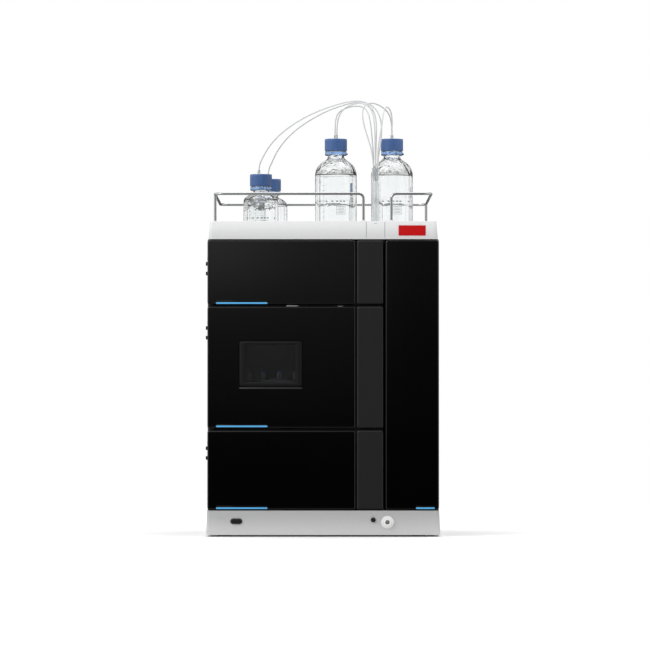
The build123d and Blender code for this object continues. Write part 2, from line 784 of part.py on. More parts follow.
heater_front = column_back - heater_depth
with BuildPart() as column_heater:
    with BuildSketch(Plane.XY.offset(column_middle_z - heater_height / 2)):
        with Locations((column_middle_x, column_back - heater_depth / 2)):
            Rectangle(heater_width, heater_depth)
        with Locations((column_middle_x, heater_front)):
            Circle(trough_radius, mode=Mode.SUBTRACT)
    extrude(amount=heater_height)
    for clamp_z in (column_middle_z - clamp_pitch / 2, column_middle_z + clamp_pitch / 2):
        with BuildSketch(Plane.XY.offset(clamp_z - clamp_thickness / 2)):
            with Locations((column_middle_x, heater_front)):
                Circle(trough_radius)
                Circle(column_radius + running_clearance, mode=Mode.SUBTRACT)
                with Locations((0, -trough_radius)):
                    Rectangle(1.6 * column_radius, 2 * trough_radius, mode=Mode.SUBTRACT)
        extrude(amount=clamp_thickness)
save(column_heater.part, "column_heater")

with BuildPart() as separation_column:
    with BuildSketch(Plane.XY.offset(column_middle_z - column_length / 2)):
        with Locations((column_middle_x, heater_front)):
            Circle(column_radius)
    extrude(amount=column_length)
    for end, way in ((-column_length / 2, -1), (column_length / 2, 1)):
        with BuildSketch(Plane.XY.offset(column_middle_z + end)):
            with Locations((column_middle_x, heater_front)):
                RegularPolygon(end_fitting_radius, 6)
        extrude(amount=way * end_fitting_length)
        with BuildSketch(Plane.XY.offset(column_middle_z + end + way * end_fitting_length)):
            with Locations((column_middle_x, heater_front)):
                Circle(end_nut_radius)
        extrude(amount=way * end_nut_length)
save(separation_column.part, "separation_column")

# ---------------------------------------------------------------- side clips
clip_y = front_y + 350.0
clip_drop = 60.0            # module's top to the clip's middle
clip_length = 33.0
clip_thickness = 14.0
clip_plate = 3.0
clip_end = 9.0
clip_middle_reach = 7.0
stud_drop = 35.0
stud_radius = 3.6
stud_reach = 9.0
with BuildPart() as side_clips:
    for unit_z, unit_height, _ in modules.values():
        clip_z = unit_z + unit_height - clip_drop
        with BuildSketch(Plane.XZ.offset(-clip_y - clip_thickness / 2)):
            with Locations((stack_left - clip_reach / 2, clip_z)):
                RectangleRounded(clip_reach, clip_length, 2.0)
            with Locations((stack_left - clip_middle_reach - clip_length / 2, clip_z)):
                Rectangle(clip_length, clip_length - 2 * clip_end, mode=Mode.SUBTRACT)
        extrude(amount=clip_thickness)
        with BuildSketch(Plane.YZ.offset(stack_left)):
            with Locations((clip_y, unit_z + unit_height - stud_drop)):
                Circle(stud_radius)
        extrude(amount=-stud_reach)
save(side_clips.part, "side_clips")

# ---------------------------------------------------------------- solvent rack
rack_width = stack_width - 2 * rack_inset
rack_depth = cabinet_depth - 2 * rack_inset
rack_top = rack_z + rack_height
rack_shelf = rack_z + rack_floor
rack_front = front_y + rack_inset
block_left = tower_x + rack_left_end
block_right = tower_x + rack_right_end
block_middle = (block_left + block_right) / 2
block_width = block_right - block_left
guide_x = block_middle
guide_y = rack_front + guide_setback
guide_top = rack_top + guide_height
comb_top = guide_top - comb_drop
block_depth = guide_setback + guide_depth / 2 + 12.0
line_radius = 1.6
line_seat = 6.0             # how deep a line's end stands in the comb
line_columns = (-line_pitch_x, 0.0, line_pitch_x)
rail_left = stack_left + rack_inset + rail_inset
rail_right = stack_right - rack_inset - rail_inset
rail_front = rack_front + rail_inset
rail_rear = rack_front + rack_depth - rail_inset
rail_z = rack_top + rail_rise
rail_foot_z = rack_top - rail_seat
rail_posts = ((rail_left, rail_front + rail_corner), (rail_right, rail_rear - rail_corner))
rail_legs = ((tower_x + rail_left_leg, rail_front), (tower_x + rail_right_leg, rail_front))

with BuildPart() as rack_tray:
    with BuildSketch(Plane.XY.offset(rack_z)):
        with Locations((tower_x, tower_y)):
            RectangleRounded(rack_width, rack_depth, rack_corner)
    extrude(amount=rack_height, taper=rack_taper)
    fillet(rack_tray.edges().group_by(Axis.Z)[-1], 1.5)
    with BuildSketch(Plane.XY.offset(rack_shelf)):
        with Locations((tower_x, tower_y)):
            RectangleRounded(rack_width - 2 * rack_rim, rack_depth - 2 * rack_rim, rack_corner)
    extrude(amount=rack_height, mode=Mode.SUBTRACT)
    with BuildSketch(Plane.XY.offset(rack_z)):
        with Locations((block_middle, rack_front + block_depth / 2 - rack_corner)):
            Rectangle(block_width, block_depth + 2 * rack_corner)
    extrude(amount=rack_height + rack_floor, mode=Mode.SUBTRACT)
    with BuildSketch(Plane.XY.offset(rail_foot_z)):
        with Locations(*rail_posts, *rail_legs):
            Circle(rail_wire / 2 + running_clearance)
    extrude(amount=rack_height, mode=Mode.SUBTRACT)
save(rack_tray.part, "rack_tray")

with BuildPart() as rack_guide_block:
    with BuildSketch(Plane.XY.offset(rack_z)):
        with Locations((tower_x, tower_y)):
            RectangleRounded(rack_width, rack_depth, rack_corner)
    extrude(amount=rack_height, taper=rack_taper)
    fillet(rack_guide_block.edges().group_by(Axis.Z)[-1], 1.5)
    with BuildSketch(Plane.XY.offset(rack_z)):
        with Locations((block_middle, rack_front + block_depth / 2)):
            Rectangle(block_width - 2 * seat_clearance, block_depth)
    extrude(amount=rack_height, mode=Mode.INTERSECT)
    with BuildSketch(Plane.XY.offset(rack_top)):
        with Locations((guide_x, guide_y)):
            Rectangle(guide_width + 2 * running_clearance, guide_depth + 2 * running_clearance)
    extrude(amount=-guide_seat, mode=Mode.SUBTRACT)
save(rack_guide_block.part, "rack_guide_block")

with BuildPart() as tube_guide:
    with BuildSketch(Plane.XY.offset(rack_top - guide_seat)):
        with Locations((guide_x, guide_y)):
            RectangleRounded(guide_width, guide_depth, 1.5)
            RectangleRounded(guide_width - 2 * guide_wall, guide_depth - 2 * guide_wall, 1.0,
                             mode=Mode.SUBTRACT)
    extrude(amount=guide_height + guide_seat)
    with BuildSketch(Plane.XY.offset(comb_top - comb_height)):
        with Locations((guide_x, guide_y)):
            Rectangle(guide_width - guide_wall, guide_depth - guide_wall)
    extrude(amount=comb_height)
    with BuildSketch(Plane.XY.offset(comb_top)):
        with Locations((guide_x, guide_y)):
            with GridLocations(line_pitch_x, line_pitch_y, 3, 2):
                Circle(line_radius + running_clearance)
    extrude(amount=-line_seat, mode=Mode.SUBTRACT)
save(tube_guide.part, "tube_guide")

with BuildPart() as bottle_rail:
    with BuildLine() as rail_path:
        FilletPolyline(
            (*rail_legs[0], rail_foot_z),
            (*rail_legs[0], rail_z),
            (rail_left, rail_front, rail_z),
            (rail_left, rail_rear, rail_z),
            (rail_right, rail_rear, rail_z),
            (rail_right, rail_front, rail_z),
            (*rail_legs[1], rail_z),
            (*rail_legs[1], rail_foot_z),
            radius=[rail_bend, rail_corner, rail_corner, rail_corner, rail_corner, rail_bend])
    with BuildSketch(Plane(origin=rail_path.line @ 0, z_dir=rail_path.line % 0)):
        Circle(rail_wire / 2)
    sweep()
    with BuildSketch(Plane.XY.offset(rail_foot_z)):
        with Locations(*rail_posts):
            Circle(rail_wire / 2)
    extrude(amount=rail_z - rail_foot_z)
save(bottle_rail.part, "bottle_rail")

# ---------------------------------------------------------------- bottles, caps and inserts
bottle_wall = 3.5
bottle_foot_round = 7.0
neck_radius = 20.0
thread_radius = 22.0
mouth_radius = 16.0
ring_radius = 25.0
ring_height = 9.0
cap_radius = 27.0
cap_height = 29.0
cap_wall = 3.0
cap_clearance = 0.5
cap_hole = 17.3
cap_groove_radius = 1.0
cap_grooves = 36
insert_flange = 2.0
insert_flange_radius = 21.0
insert_plug_length = 12.0
sleeve_radius = 4.6
sleeve_height = 10.0
sleeve_seat = 8.0           # how deep a line stands in its sleeve
litre_ports = 2.2           # middle of a sleeve to each of its two lines
mouth_drop = cap_wall + seat_clearance + insert_flange     # top of a cap to the bottle's mouth

half_litre_inset = 123.6    # tower's left side to the front half-litre bottle
half_litre_stagger = 19.9   # the rear one stands this much further right
half_litre_setback = 75.0   # and this far in front of the rear panels

# name: (x from the tower's middle, y from the doors' front, radius, shoulder height,
#        height to the top of the cap, sleeve's offset from the middle)
bottles = {
    "bottle_half_litre_front": (half_litre_inset - stack_width / 2, 310.0, 43.0, 99.5, 167.5, -5.0),
    "bottle_half_litre_rear": (half_litre_inset + half_litre_stagger - stack_width / 2,
                               cabinet_depth - half_litre_setback, 43.0, 99.5, 167.5, -5.0),
    "bottle_litre_left": (30.7, 150.0, 50.5, 155.8, 244.8, 0.0),
    "bottle_litre_right": (166.4, 150.0, 50.5, 155.8, 244.8, 0.0),
}
caps = {
    "bottle_half_litre_front": "cap_half_litre_front",
    "bottle_half_litre_rear": "cap_half_litre_rear",
    "bottle_litre_left": "cap_litre_left",
    "bottle_litre_right": "cap_litre_right",
}


def make_bottle(x, y, radius, shoulder, mouth):
    """Laboratory bottle with a drip ring under its threaded neck, revolved about its own axis."""
    ring_top = mouth - (cap_height - mouth_drop) - 2.0
    neck_start = ring_top - ring_height - 4.0
    rise = neck_start - shoulder
    inner = radius - bottle_wall
    profile_plane = Plane(origin=(x, y, rack_shelf), x_dir=(1, 0, 0), z_dir=(0, -1, 0))
    axis = Axis((x, y, rack_shelf), (0, 0, 1))
    with BuildPart() as bottle:
        with BuildSketch(profile_plane):
            with BuildLine():
                Line((0, 0), (radius - bottle_foot_round, 0))
                RadiusArc((radius - bottle_foot_round, 0), (radius, bottle_foot_round),
                          -bottle_foot_round)
                Line((radius, bottle_foot_round), (radius, shoulder))
                Bezier((radius, shoulder), (radius, shoulder + 0.62 * rise),
                       (neck_radius, neck_start - 0.42 * rise), (neck_radius, neck_start))
                Polyline((neck_radius, neck_start), (neck_radius, ring_top - ring_height),
                         (ring_radius, ring_top - ring_height + 1.5), (ring_radius, ring_top - 1.0),
                         (ring_radius - 1.5, ring_top), (thread_radius, ring_top),
                         (thread_radius, mouth), (0, mouth), (0, 0))
            make_face()
        revolve(axis=axis)
        with BuildSketch(profile_plane):
            with BuildLine():
                Line((0, bottle_wall), (inner - bottle_foot_round, bottle_wall))
                RadiusArc((inner - bottle_foot_round, bottle_wall),
                          (inner, bottle_wall + bottle_foot_round), -bottle_foot_round)
                Line((inner, bottle_wall + bottle_foot_round), (inner, shoulder))
                Bezier((inner, shoulder), (inner, shoulder + 0.62 * rise),
                       (mouth_radius, neck_start - 0.42 * rise), (mouth_radius, neck_start))
                Polyline((mouth_radius, neck_start), (mouth_radius, mouth), (0, mouth),
                         (0, bottle_wall))
            make_face()
        revolve(axis=axis, mode=Mode.SUBTRACT)
    return bottle


def make_cap(x, y, top):
    """Open-topped screw cap with a grooved grip."""
    with BuildPart() as cap:
        with BuildSketch(Plane.XY.offset(top - cap_height)):
            with Locations((x, y)):
                Circle(cap_radius)
        extrude(amount=cap_height)
        fillet(cap.edges().group_by(Axis.Z)[-1], 2.0)
        with BuildSketch(Plane.XY.offset(top - cap_height)):
            with Locations((x, y)):
                with PolarLocations(cap_radius + 0.3 * cap_groove_radius, cap_grooves):
                    Circle(cap_groove_radius)
        extrude(amount=cap_height - 2.0 * cap_wall, mode=Mode.SUBTRACT)
        with BuildSketch(Plane.XY.offset(top - cap_height)):
            with Locations((x, y)):
                Circle(thread_radius + cap_clearance)
        extrude(amount=cap_height - cap_wall, mode=Mode.SUBTRACT)
        with BuildSketch(Plane.XY.offset(top)):
            with Locations((x, y)):
                Circle(cap_hole)
        extrude(amount=-cap_wall, mode=Mode.SUBTRACT)
    return cap


for name, (bottle_x, bottle_y, radius, shoulder, top_rise, _) in bottles.items():
    x, y = tower_x + bottle_x, front_y + bottle_y
    bottle = make_bottle(x, y, radius, shoulder, top_rise - mouth_drop)
    save(bottle.part, name)
    save(make_cap(x, y, rack_shelf + top_rise).part, caps[name])

# name: (bottle, line's offset from its sleeve's middle, comb column, comb row,
#        straight length out of the sleeve, points between as x from the tower's middle,
#        y from the doors' front and z above the rack, height above the rack of the last bend)
lines = {
    "line_half_litre_front": (
        "bottle_half_litre_front", (0.0, 0.0), 1, 1, 19.5,
        [(-149, 309, 168.5), (-130.5, 300, 199.5), (-103, 274, 226),
         (-72.5, 242, 247), (-40.5, 206, 263), (-8, 170, 275.5), (26, 134, 285),
         (59.5, 100, 292), (93, 74, 293), (123, 55, 277), (137.5, 45, 250.5),
         (141, 36, 216.5), (136.5, 29, 180.5)], 136.5),
    "line_half_litre_rear": (
        "bottle_half_litre_rear", (0.0, 0.0), 0, 1, 20.5,
        [(-129.5, 540, 167.5), (-115.5, 522, 196.5), (-95.5, 492, 221.5),
         (-71.5, 455, 242.5), (-46.5, 413, 258.5), (-20, 366, 271.5), (5, 318, 281.5),
         (29, 270, 288), (49.5, 222, 291.5), (67.5, 176, 293.5), (84, 134, 293.5),
         (100, 97, 288.5), (116, 66, 276.5), (125.5, 44, 254), (128, 31, 223.5),
         (126.5, 26, 189.5)], 141.5),
    "line_litre_left_a": (
        "bottle_litre_left", (-litre_ports, 0.0), -1, 1, 23.0,
        [(30, 152, 254), (38, 148, 271), (58.5, 127, 280), (84, 94, 282),
         (104, 62, 272.5), (112.5, 40, 245.5), (116, 29, 211.5)], 152.0),
    "line_litre_left_b": (
        "bottle_litre_left", (litre_ports, 0.0), 0, -1, 24.0,
        [(36.5, 144, 257), (48, 127, 275.5), (69.5, 95, 285.5),
         (92, 62, 286.5), (111, 37, 276.5), (120.5, 25, 254), (123.5, 20.5, 220.5),
         (124, 20.5, 187)], 137.0),
    "line_litre_right_a": (
        "bottle_litre_right", (0.0, litre_ports), -1, -1, 22.0,
        [(164.5, 148, 251.5), (155.5, 132, 271), (136.5, 92, 282.5),
         (116, 52, 286.5), (98.5, 27, 278.5), (93, 17, 258.5), (97.5, 15, 228.5),
         (107.5, 16, 197.5), (116.5, 18.5, 167.5)], 131.0),
    "line_litre_right_b": (
        "bottle_litre_right", (0.0, -litre_ports), 1, -1, 21.5,
        [(167, 142, 251), (163.5, 126, 272), (153.5, 98, 281),
         (145, 62, 267.5), (142, 31, 240), (137, 19, 211), (131.5, 17, 181)], 135.0),
}

with BuildPart() as cap_inserts:
    for name, (bottle_x, bottle_y, _, _, top_rise, sleeve_offset) in bottles.items():
        x, y = tower_x + bottle_x, front_y + bottle_y
        cap_top = rack_shelf + top_rise
        ports = [offset for bottle, offset, *_ in lines.values() if bottle == name]
        with BuildSketch(Plane.XY.offset(cap_top - mouth_drop - insert_plug_length)):
            with Locations((x, y)):
                Circle(mouth_radius - glass_clearance)
        extrude(amount=insert_plug_length + mouth_drop - 0.5)
        with BuildSketch(Plane.XY.offset(cap_top - mouth_drop)):
            with Locations((x, y)):
                Circle(insert_flange_radius)
        extrude(amount=insert_flange)
        with BuildSketch(Plane.XY.offset(cap_top - cap_wall)):
            with Locations((x + sleeve_offset, y)):
                Circle(sleeve_radius)
        extrude(amount=cap_wall + sleeve_height)
        with BuildSketch(Plane.XY.offset(cap_top + sleeve_height)):
            with Locations(*[(x + sleeve_offset + dx, y + dy) for dx, dy in ports]):
                Circle(line_radius + running_clearance)
        extrude(amount=-sleeve_seat, mode=Mode.SUBTRACT)
save(cap_inserts.part, "cap_inserts")

# ---------------------------------------------------------------- solvent lines
line_section = pi * line_radius**2
for name, (bottle, port, column, row, sleeve_run, between, comb_rise) in lines.items():
    bottle_x, bottle_y, _, _, top_rise, sleeve_offset = bottles[bottle]
    start = Vector(tower_x + bottle_x + sleeve_offset + port[0], front_y + bottle_y + port[1],
                   rack_shelf + top_rise + sleeve_height - sleeve_seat)
    hole_x = guide_x + column * line_pitch_x
    hole_y = guide_y + row * line_pitch_y / 2
    points = [start, start + Vector(0, 0, sleeve_run)]
    points += [Vector(tower_x + x, front_y + y, rack_top + z) for x, y, z in between]
    points += [Vector(hole_x, hole_y, rack_top + comb_rise),
               Vector(hole_x, hole_y, comb_top - line_seat)]
    runs = [b - a for a, b in zip(points, points[1:])]
    turns = [a.get_angle(b) for a, b in zip(runs, runs[1:])]
    radii = [0.45 * min(a.length, b.length) / tan(radians(turn) / 2)
             for a, b, turn in zip(runs, runs[1:], turns)]
    with BuildPart() as solvent_line:
        with BuildLine() as line_path:
            FilletPolyline(*points, radius=radii)
        with BuildSketch(Plane(origin=line_path.line @ 0, z_dir=line_path.line % 0)):
            Circle(line_radius)
        sweep()
    save(solvent_line.part, name)
    line_length = line_path.wires()[0].length
    print(name, "length", round(line_length, 1), "volume ratio",
          round(solvent_line.part.volume / (line_section * line_length), 4), "radii", [round(r) for r in radii])
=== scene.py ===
"""Looks of a bench-top liquid chromatography tower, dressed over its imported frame.

Every piece rides on a body of the frame, so it keeps its place when a door opens or a cap turns.
Lengths are metres, +Z is up and the doors face -Y.
"""

import logging
import math
from dataclasses import dataclass, field
from enum import Enum

import bmesh
import bpy
from mathutils import Matrix, Vector


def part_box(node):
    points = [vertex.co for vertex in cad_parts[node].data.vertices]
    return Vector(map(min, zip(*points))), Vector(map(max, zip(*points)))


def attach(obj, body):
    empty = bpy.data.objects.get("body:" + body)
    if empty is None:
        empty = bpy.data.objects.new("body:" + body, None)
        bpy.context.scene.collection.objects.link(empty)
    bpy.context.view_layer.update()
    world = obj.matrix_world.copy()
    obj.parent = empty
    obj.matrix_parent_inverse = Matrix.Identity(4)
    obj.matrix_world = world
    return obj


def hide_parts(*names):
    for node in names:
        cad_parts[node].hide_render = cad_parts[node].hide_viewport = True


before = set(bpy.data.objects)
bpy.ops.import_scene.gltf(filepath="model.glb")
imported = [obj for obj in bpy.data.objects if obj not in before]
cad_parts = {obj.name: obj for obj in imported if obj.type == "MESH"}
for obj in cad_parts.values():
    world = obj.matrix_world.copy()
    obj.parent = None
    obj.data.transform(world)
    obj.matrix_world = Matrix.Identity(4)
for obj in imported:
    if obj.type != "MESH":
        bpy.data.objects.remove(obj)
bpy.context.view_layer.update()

LOG = logging.getLogger("tower")
MM = 0.001


# ---- places read from the frame
def low(node: str) -> Vector:
    """Lowest corner of a frame node's box."""
    return Vector(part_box(node)[0])


def high(node: str) -> Vector:
    """Highest corner of a frame node's box."""
    return Vector(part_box(node)[1])


def middle(node: str) -> Vector:
    """Middle of a frame node's box."""
    return (low(node) + high(node)) / 2


DOORS_FRONT = low("sampler_door_panel").y
TOWER_X = (low("pump_enclosure").x + high("column_enclosure").x) / 2
RACK_TOP = high("rack_tray").z


# ---- shader helpers
class Nodes:
    """Thin helper that adds and links the nodes of one tree."""

    def __init__(self, tree: bpy.types.NodeTree) -> None:
        """Start on a tree.

        Args:
            tree: The material's, world's or group's node tree.
        """
        self.tree = tree

    def add(self, kind: str, **values: object) -> bpy.types.Node:
        """Add a node and set its properties and input values.

        Args:
            kind: Blender's node type.
            **values: Properties of the node, or input values by name with spaces as underscores.

        Returns:
            The new node.
        """
        node = self.tree.nodes.new(kind)
        for name, value in values.items():
            if hasattr(node, name) and name not in node.inputs:
                setattr(node, name, value)
            else:
                node.inputs[name.replace("_", " ")].default_value = value
        return node

    def link(self, source: bpy.types.NodeSocket, target: bpy.types.NodeSocket) -> None:
        """Link one output to one input."""
        self.tree.links.new(source, target)

    def math(self, operation: str, *values: object) -> bpy.types.NodeSocket:
        """Add a math node.

        Args:
            operation: Name of the operation.
            *values: Sockets or numbers, in order.

        Returns:
            The node's output.
        """
        node = self.add("ShaderNodeMath", operation=operation)
        for index, value in enumerate(values):
            if isinstance(value, bpy.types.NodeSocket):
                self.link(value, node.inputs[index])
            else:
                node.inputs[index].default_value = value
        return node.outputs[0]

    def smoothstep(self, source: bpy.types.NodeSocket, start: float, end: float,
                   at_start: float = 0.0, at_end: float = 1.0) -> bpy.types.NodeSocket:
        """Map a value softly from one range to another.

        Args:
            source: The value.
            start: Where the source's range starts.
            end: Where it ends.
            at_start: What the start becomes.
            at_end: What the end becomes.

        Returns:
            The mapped value's socket.
        """
        node = self.add("ShaderNodeMapRange", interpolation_type="SMOOTHSTEP", From_Min=start,
                        From_Max=end, To_Min=at_start, To_Max=at_end)
        self.link(source, node.inputs["Value"])
        return node.outputs["Result"]

    def ramp(self, source: bpy.types.NodeSocket, stops: list[tuple[float, float]],
             interpolation: str) -> bpy.types.NodeSocket:
        """Add a ramp of grey levels.

        Args:
            source: What it reads, from 0 to 1.
            stops: Pairs of position and level, in order.
            interpolation: How it goes from one stop to the next.

        Returns:
            The level's socket.
        """
        node = self.add("ShaderNodeValToRGB")
        node.color_ramp.interpolation = interpolation
        elements = node.color_ramp.elements
        while len(elements) < len(stops):
            elements.new(0.5)
        for element, (position, level) in zip(elements, stops):
            element.position = position
            element.color = (level, level, level, 1.0)
        self.link(source, node.inputs["Fac"])
        return node.outputs["Color"]


def new_group(name: str, inputs: dict[str, float], outputs: tuple[str, ...]) -> tuple:
    """Make an empty node group with float sockets.

    Args:
        name: The group's name.
        inputs: Names of the inputs, with their default values.
        outputs: Names of the outputs.

    Returns:
        The group's tree, its helper, its input node and its output node.
    """
    tree = bpy.data.node_groups.new(name, "ShaderNodeTree")
    for socket, value in inputs.items():
        made = tree.interface.new_socket(socket, in_out="INPUT", socket_type="NodeSocketFloat")
        made.default_value = value
    for socket in outputs:
        tree.interface.new_socket(socket, in_out="OUTPUT", socket_type="NodeSocketFloat")
    nodes = Nodes(tree)
    return tree, nodes, nodes.add("NodeGroupInput"), nodes.add("NodeGroupOutput")


def make_grain_group() -> bpy.types.NodeTree:
    """Fine moulded or sprayed grain: a height and a mask over Object coordinates.

    Returns:
        The group's tree.
    """
    tree, nodes, source, sink = new_group(
        "moulded_grain", {"Scale": 900.0, "Speck": 0.5}, ("Height", "Mask"))
    place = nodes.add("ShaderNodeTexCoord")
    fine = nodes.add("ShaderNodeTexNoise", Detail=3.0, Roughness=0.6)
    coarse = nodes.add("ShaderNodeTexNoise", Detail=2.0, Roughness=0.5)
    nodes.link(place.outputs["Object"], fine.inputs["Vector"])
    nodes.link(place.outputs["Object"], coarse.inputs["Vector"])
    nodes.link(source.outputs["Scale"], fine.inputs["Scale"])
    nodes.link(nodes.math("MULTIPLY", source.outputs["Scale"], 0.09), coarse.inputs["Scale"])
    blend = nodes.math("MULTIPLY", coarse.outputs["Fac"], source.outputs["Speck"])
    nodes.link(nodes.math("ADD", fine.outputs["Fac"], blend), sink.inputs["Height"])
    nodes.link(coarse.outputs["Fac"], sink.inputs["Mask"])
    return tree


def make_haze_group() -> bpy.types.NodeTree:
    """Faint wiping haze and dust on polished skins: a roughness offset.

    Returns:
        The group's tree.
    """
    tree, nodes, source, sink = new_group(
        "polish_haze", {"Scale": 6.0, "Amount": 0.05}, ("Offset",))
    place = nodes.add("ShaderNodeTexCoord")
    stretch = nodes.add("ShaderNodeMapping")
    stretch.inputs["Scale"].default_value = (1.0, 1.0, 0.35)
    streak = nodes.add("ShaderNodeTexNoise", Detail=5.0, Roughness=0.62, Distortion=0.4)
    cloud = nodes.add("ShaderNodeTexNoise", Detail=1.0, Roughness=0.4)
    nodes.link(place.outputs["Object"], stretch.inputs["Vector"])
    nodes.link(stretch.outputs["Vector"], streak.inputs["Vector"])
    nodes.link(place.outputs["Object"], cloud.inputs["Vector"])
    nodes.link(source.outputs["Scale"], streak.inputs["Scale"])
    nodes.link(nodes.math("MULTIPLY", source.outputs["Scale"], 0.4), cloud.inputs["Scale"])
    mask = nodes.math("MULTIPLY", streak.outputs["Fac"], cloud.outputs["Fac"])
    nodes.link(nodes.math("MULTIPLY", mask, source.outputs["Amount"]), sink.inputs["Offset"])
    return tree


@dataclass(frozen=True)
class Finish:
    """One procedural finish: a Principled shader with grain, haze, a slight colour drift and, on
    some finishes, light and shade painted into the colour by height.
    """

    name: str
    color: tuple[float, float, float]
    roughness: float = 0.4
    metallic: float = 0.0
    transmission: float = 0.0
    ior: float = 1.5
    emission: float = 0.0
    specular: float = 0.5
    grain_scale: float = 900.0
    grain_height: float = 0.0
    haze_scale: float = 6.0
    haze: float = 0.05
    drift: float = 0.06
    # Painted light and shade: the heights where the colour's gain starts and ends, and the gain at
    # each.
    painted_height_light: tuple[float, float, float, float] | None = None
    ripple: float = 0.0
    haze_middle: float = 0.25
    bump_strength: float = 0.35

    def build(self) -> bpy.types.Material:
        """Make the material, or fetch it if it is there.

        Returns:
            The material.
        """
        if self.name in bpy.data.materials and bpy.data.materials[self.name].get("tower"):
            return bpy.data.materials[self.name]
        material = bpy.data.materials.new(self.name)
        material["tower"] = True
        material.use_nodes = True
        nodes = Nodes(material.node_tree)
        shader = material.node_tree.nodes["Principled BSDF"]
        shader.inputs["Metallic"].default_value = self.metallic
        shader.inputs["Transmission Weight"].default_value = self.transmission
        shader.inputs["IOR"].default_value = self.ior
        shader.inputs["Specular IOR Level"].default_value = self.specular
        grain = nodes.add("ShaderNodeGroup", node_tree=shared_group("moulded_grain"))
        grain.inputs["Scale"].default_value = self.grain_scale
        haze = nodes.add("ShaderNodeGroup", node_tree=shared_group("polish_haze"))
        haze.inputs["Scale"].default_value = self.haze_scale
        haze.inputs["Amount"].default_value = self.haze
        base = max(self.roughness - self.haze_middle * self.haze, 0.0)
        nodes.link(nodes.math("ADD", haze.outputs["Offset"], base), shader.inputs["Roughness"])
        tone = nodes.add("ShaderNodeMix", data_type="RGBA")
        for socket, gain in (("A", 1 - self.drift), ("B", 1 + self.drift)):
            tone.inputs[socket].default_value = (*(min(c * gain, 1.0) for c in self.color), 1.0)
        nodes.link(grain.outputs["Mask"], tone.inputs["Factor"])
        color = tone.outputs["Result"]
        # Painted light and shade: scale the colour by height.
        if self.painted_height_light:
            color = self.apply_painted_height_light(nodes, color)
        nodes.link(color, shader.inputs["Base Color"])
        if self.emission:
            nodes.link(tone.outputs["Result"], shader.inputs["Emission Color"])
            shader.inputs["Emission Strength"].default_value = self.emission
        if self.ripple:
            self.blown_ripple(nodes, shader)
        if self.grain_height:
            bump = nodes.add("ShaderNodeBump", Strength=self.bump_strength,
                             Distance=self.grain_height)
            nodes.link(grain.outputs["Height"], bump.inputs["Height"])
            nodes.link(bump.outputs["Normal"], shader.inputs["Normal"])
        return material

    def apply_painted_height_light(self, nodes: Nodes, color: bpy.types.NodeSocket) -> bpy.types.NodeSocket:
        """Paint light and shade into the colour by height, the way bounced light brightens a pale
        skirt or light from above brightens a top edge.

        Args:
            nodes: The material's nodes.
            color: The colour before the drift.

        Returns:
            The colour's socket.
        """
        place = nodes.add("ShaderNodeTexCoord")
        split = nodes.add("ShaderNodeSeparateXYZ")
        nodes.link(place.outputs["Object"], split.inputs["Vector"])
        gain = nodes.add("ShaderNodeVectorMath", operation="SCALE")
        nodes.link(color, gain.inputs[0])
        nodes.link(nodes.smoothstep(split.outputs["Z"], *self.painted_height_light), gain.inputs["Scale"])
        return gain.outputs["Vector"]

    def blown_ripple(self, nodes: Nodes, shader: bpy.types.Node) -> None:
        """Uneven wall of blown glass, strongest where the piece's ripple attribute is high.

        Args:
            nodes: The material's nodes.
            shader: The material's shader.
        """
        place = nodes.add("ShaderNodeTexCoord")
        wave = nodes.add("ShaderNodeTexNoise", Scale=60.0, Detail=1.0, Roughness=0.45,
                         Distortion=0.6)
        nodes.link(place.outputs["Object"], wave.inputs["Vector"])
        where = nodes.add("ShaderNodeAttribute")
        where.attribute_name = "ripple"
        bump = nodes.add("ShaderNodeBump", Strength=1.0, Distance=self.ripple)
        nodes.link(nodes.math("MULTIPLY", wave.outputs["Fac"], where.outputs["Fac"]),
                   bump.inputs["Height"])
        nodes.link(bump.outputs["Normal"], shader.inputs["Normal"])


_GROUP_MAKERS = {"moulded_grain": make_grain_group, "polish_haze": make_haze_group}


def shared_group(name: str) -> bpy.types.NodeTree:
    """Fetch a shared node group, made once."""
    return bpy.data.node_groups.get(name) or _GROUP_MAKERS[name]()


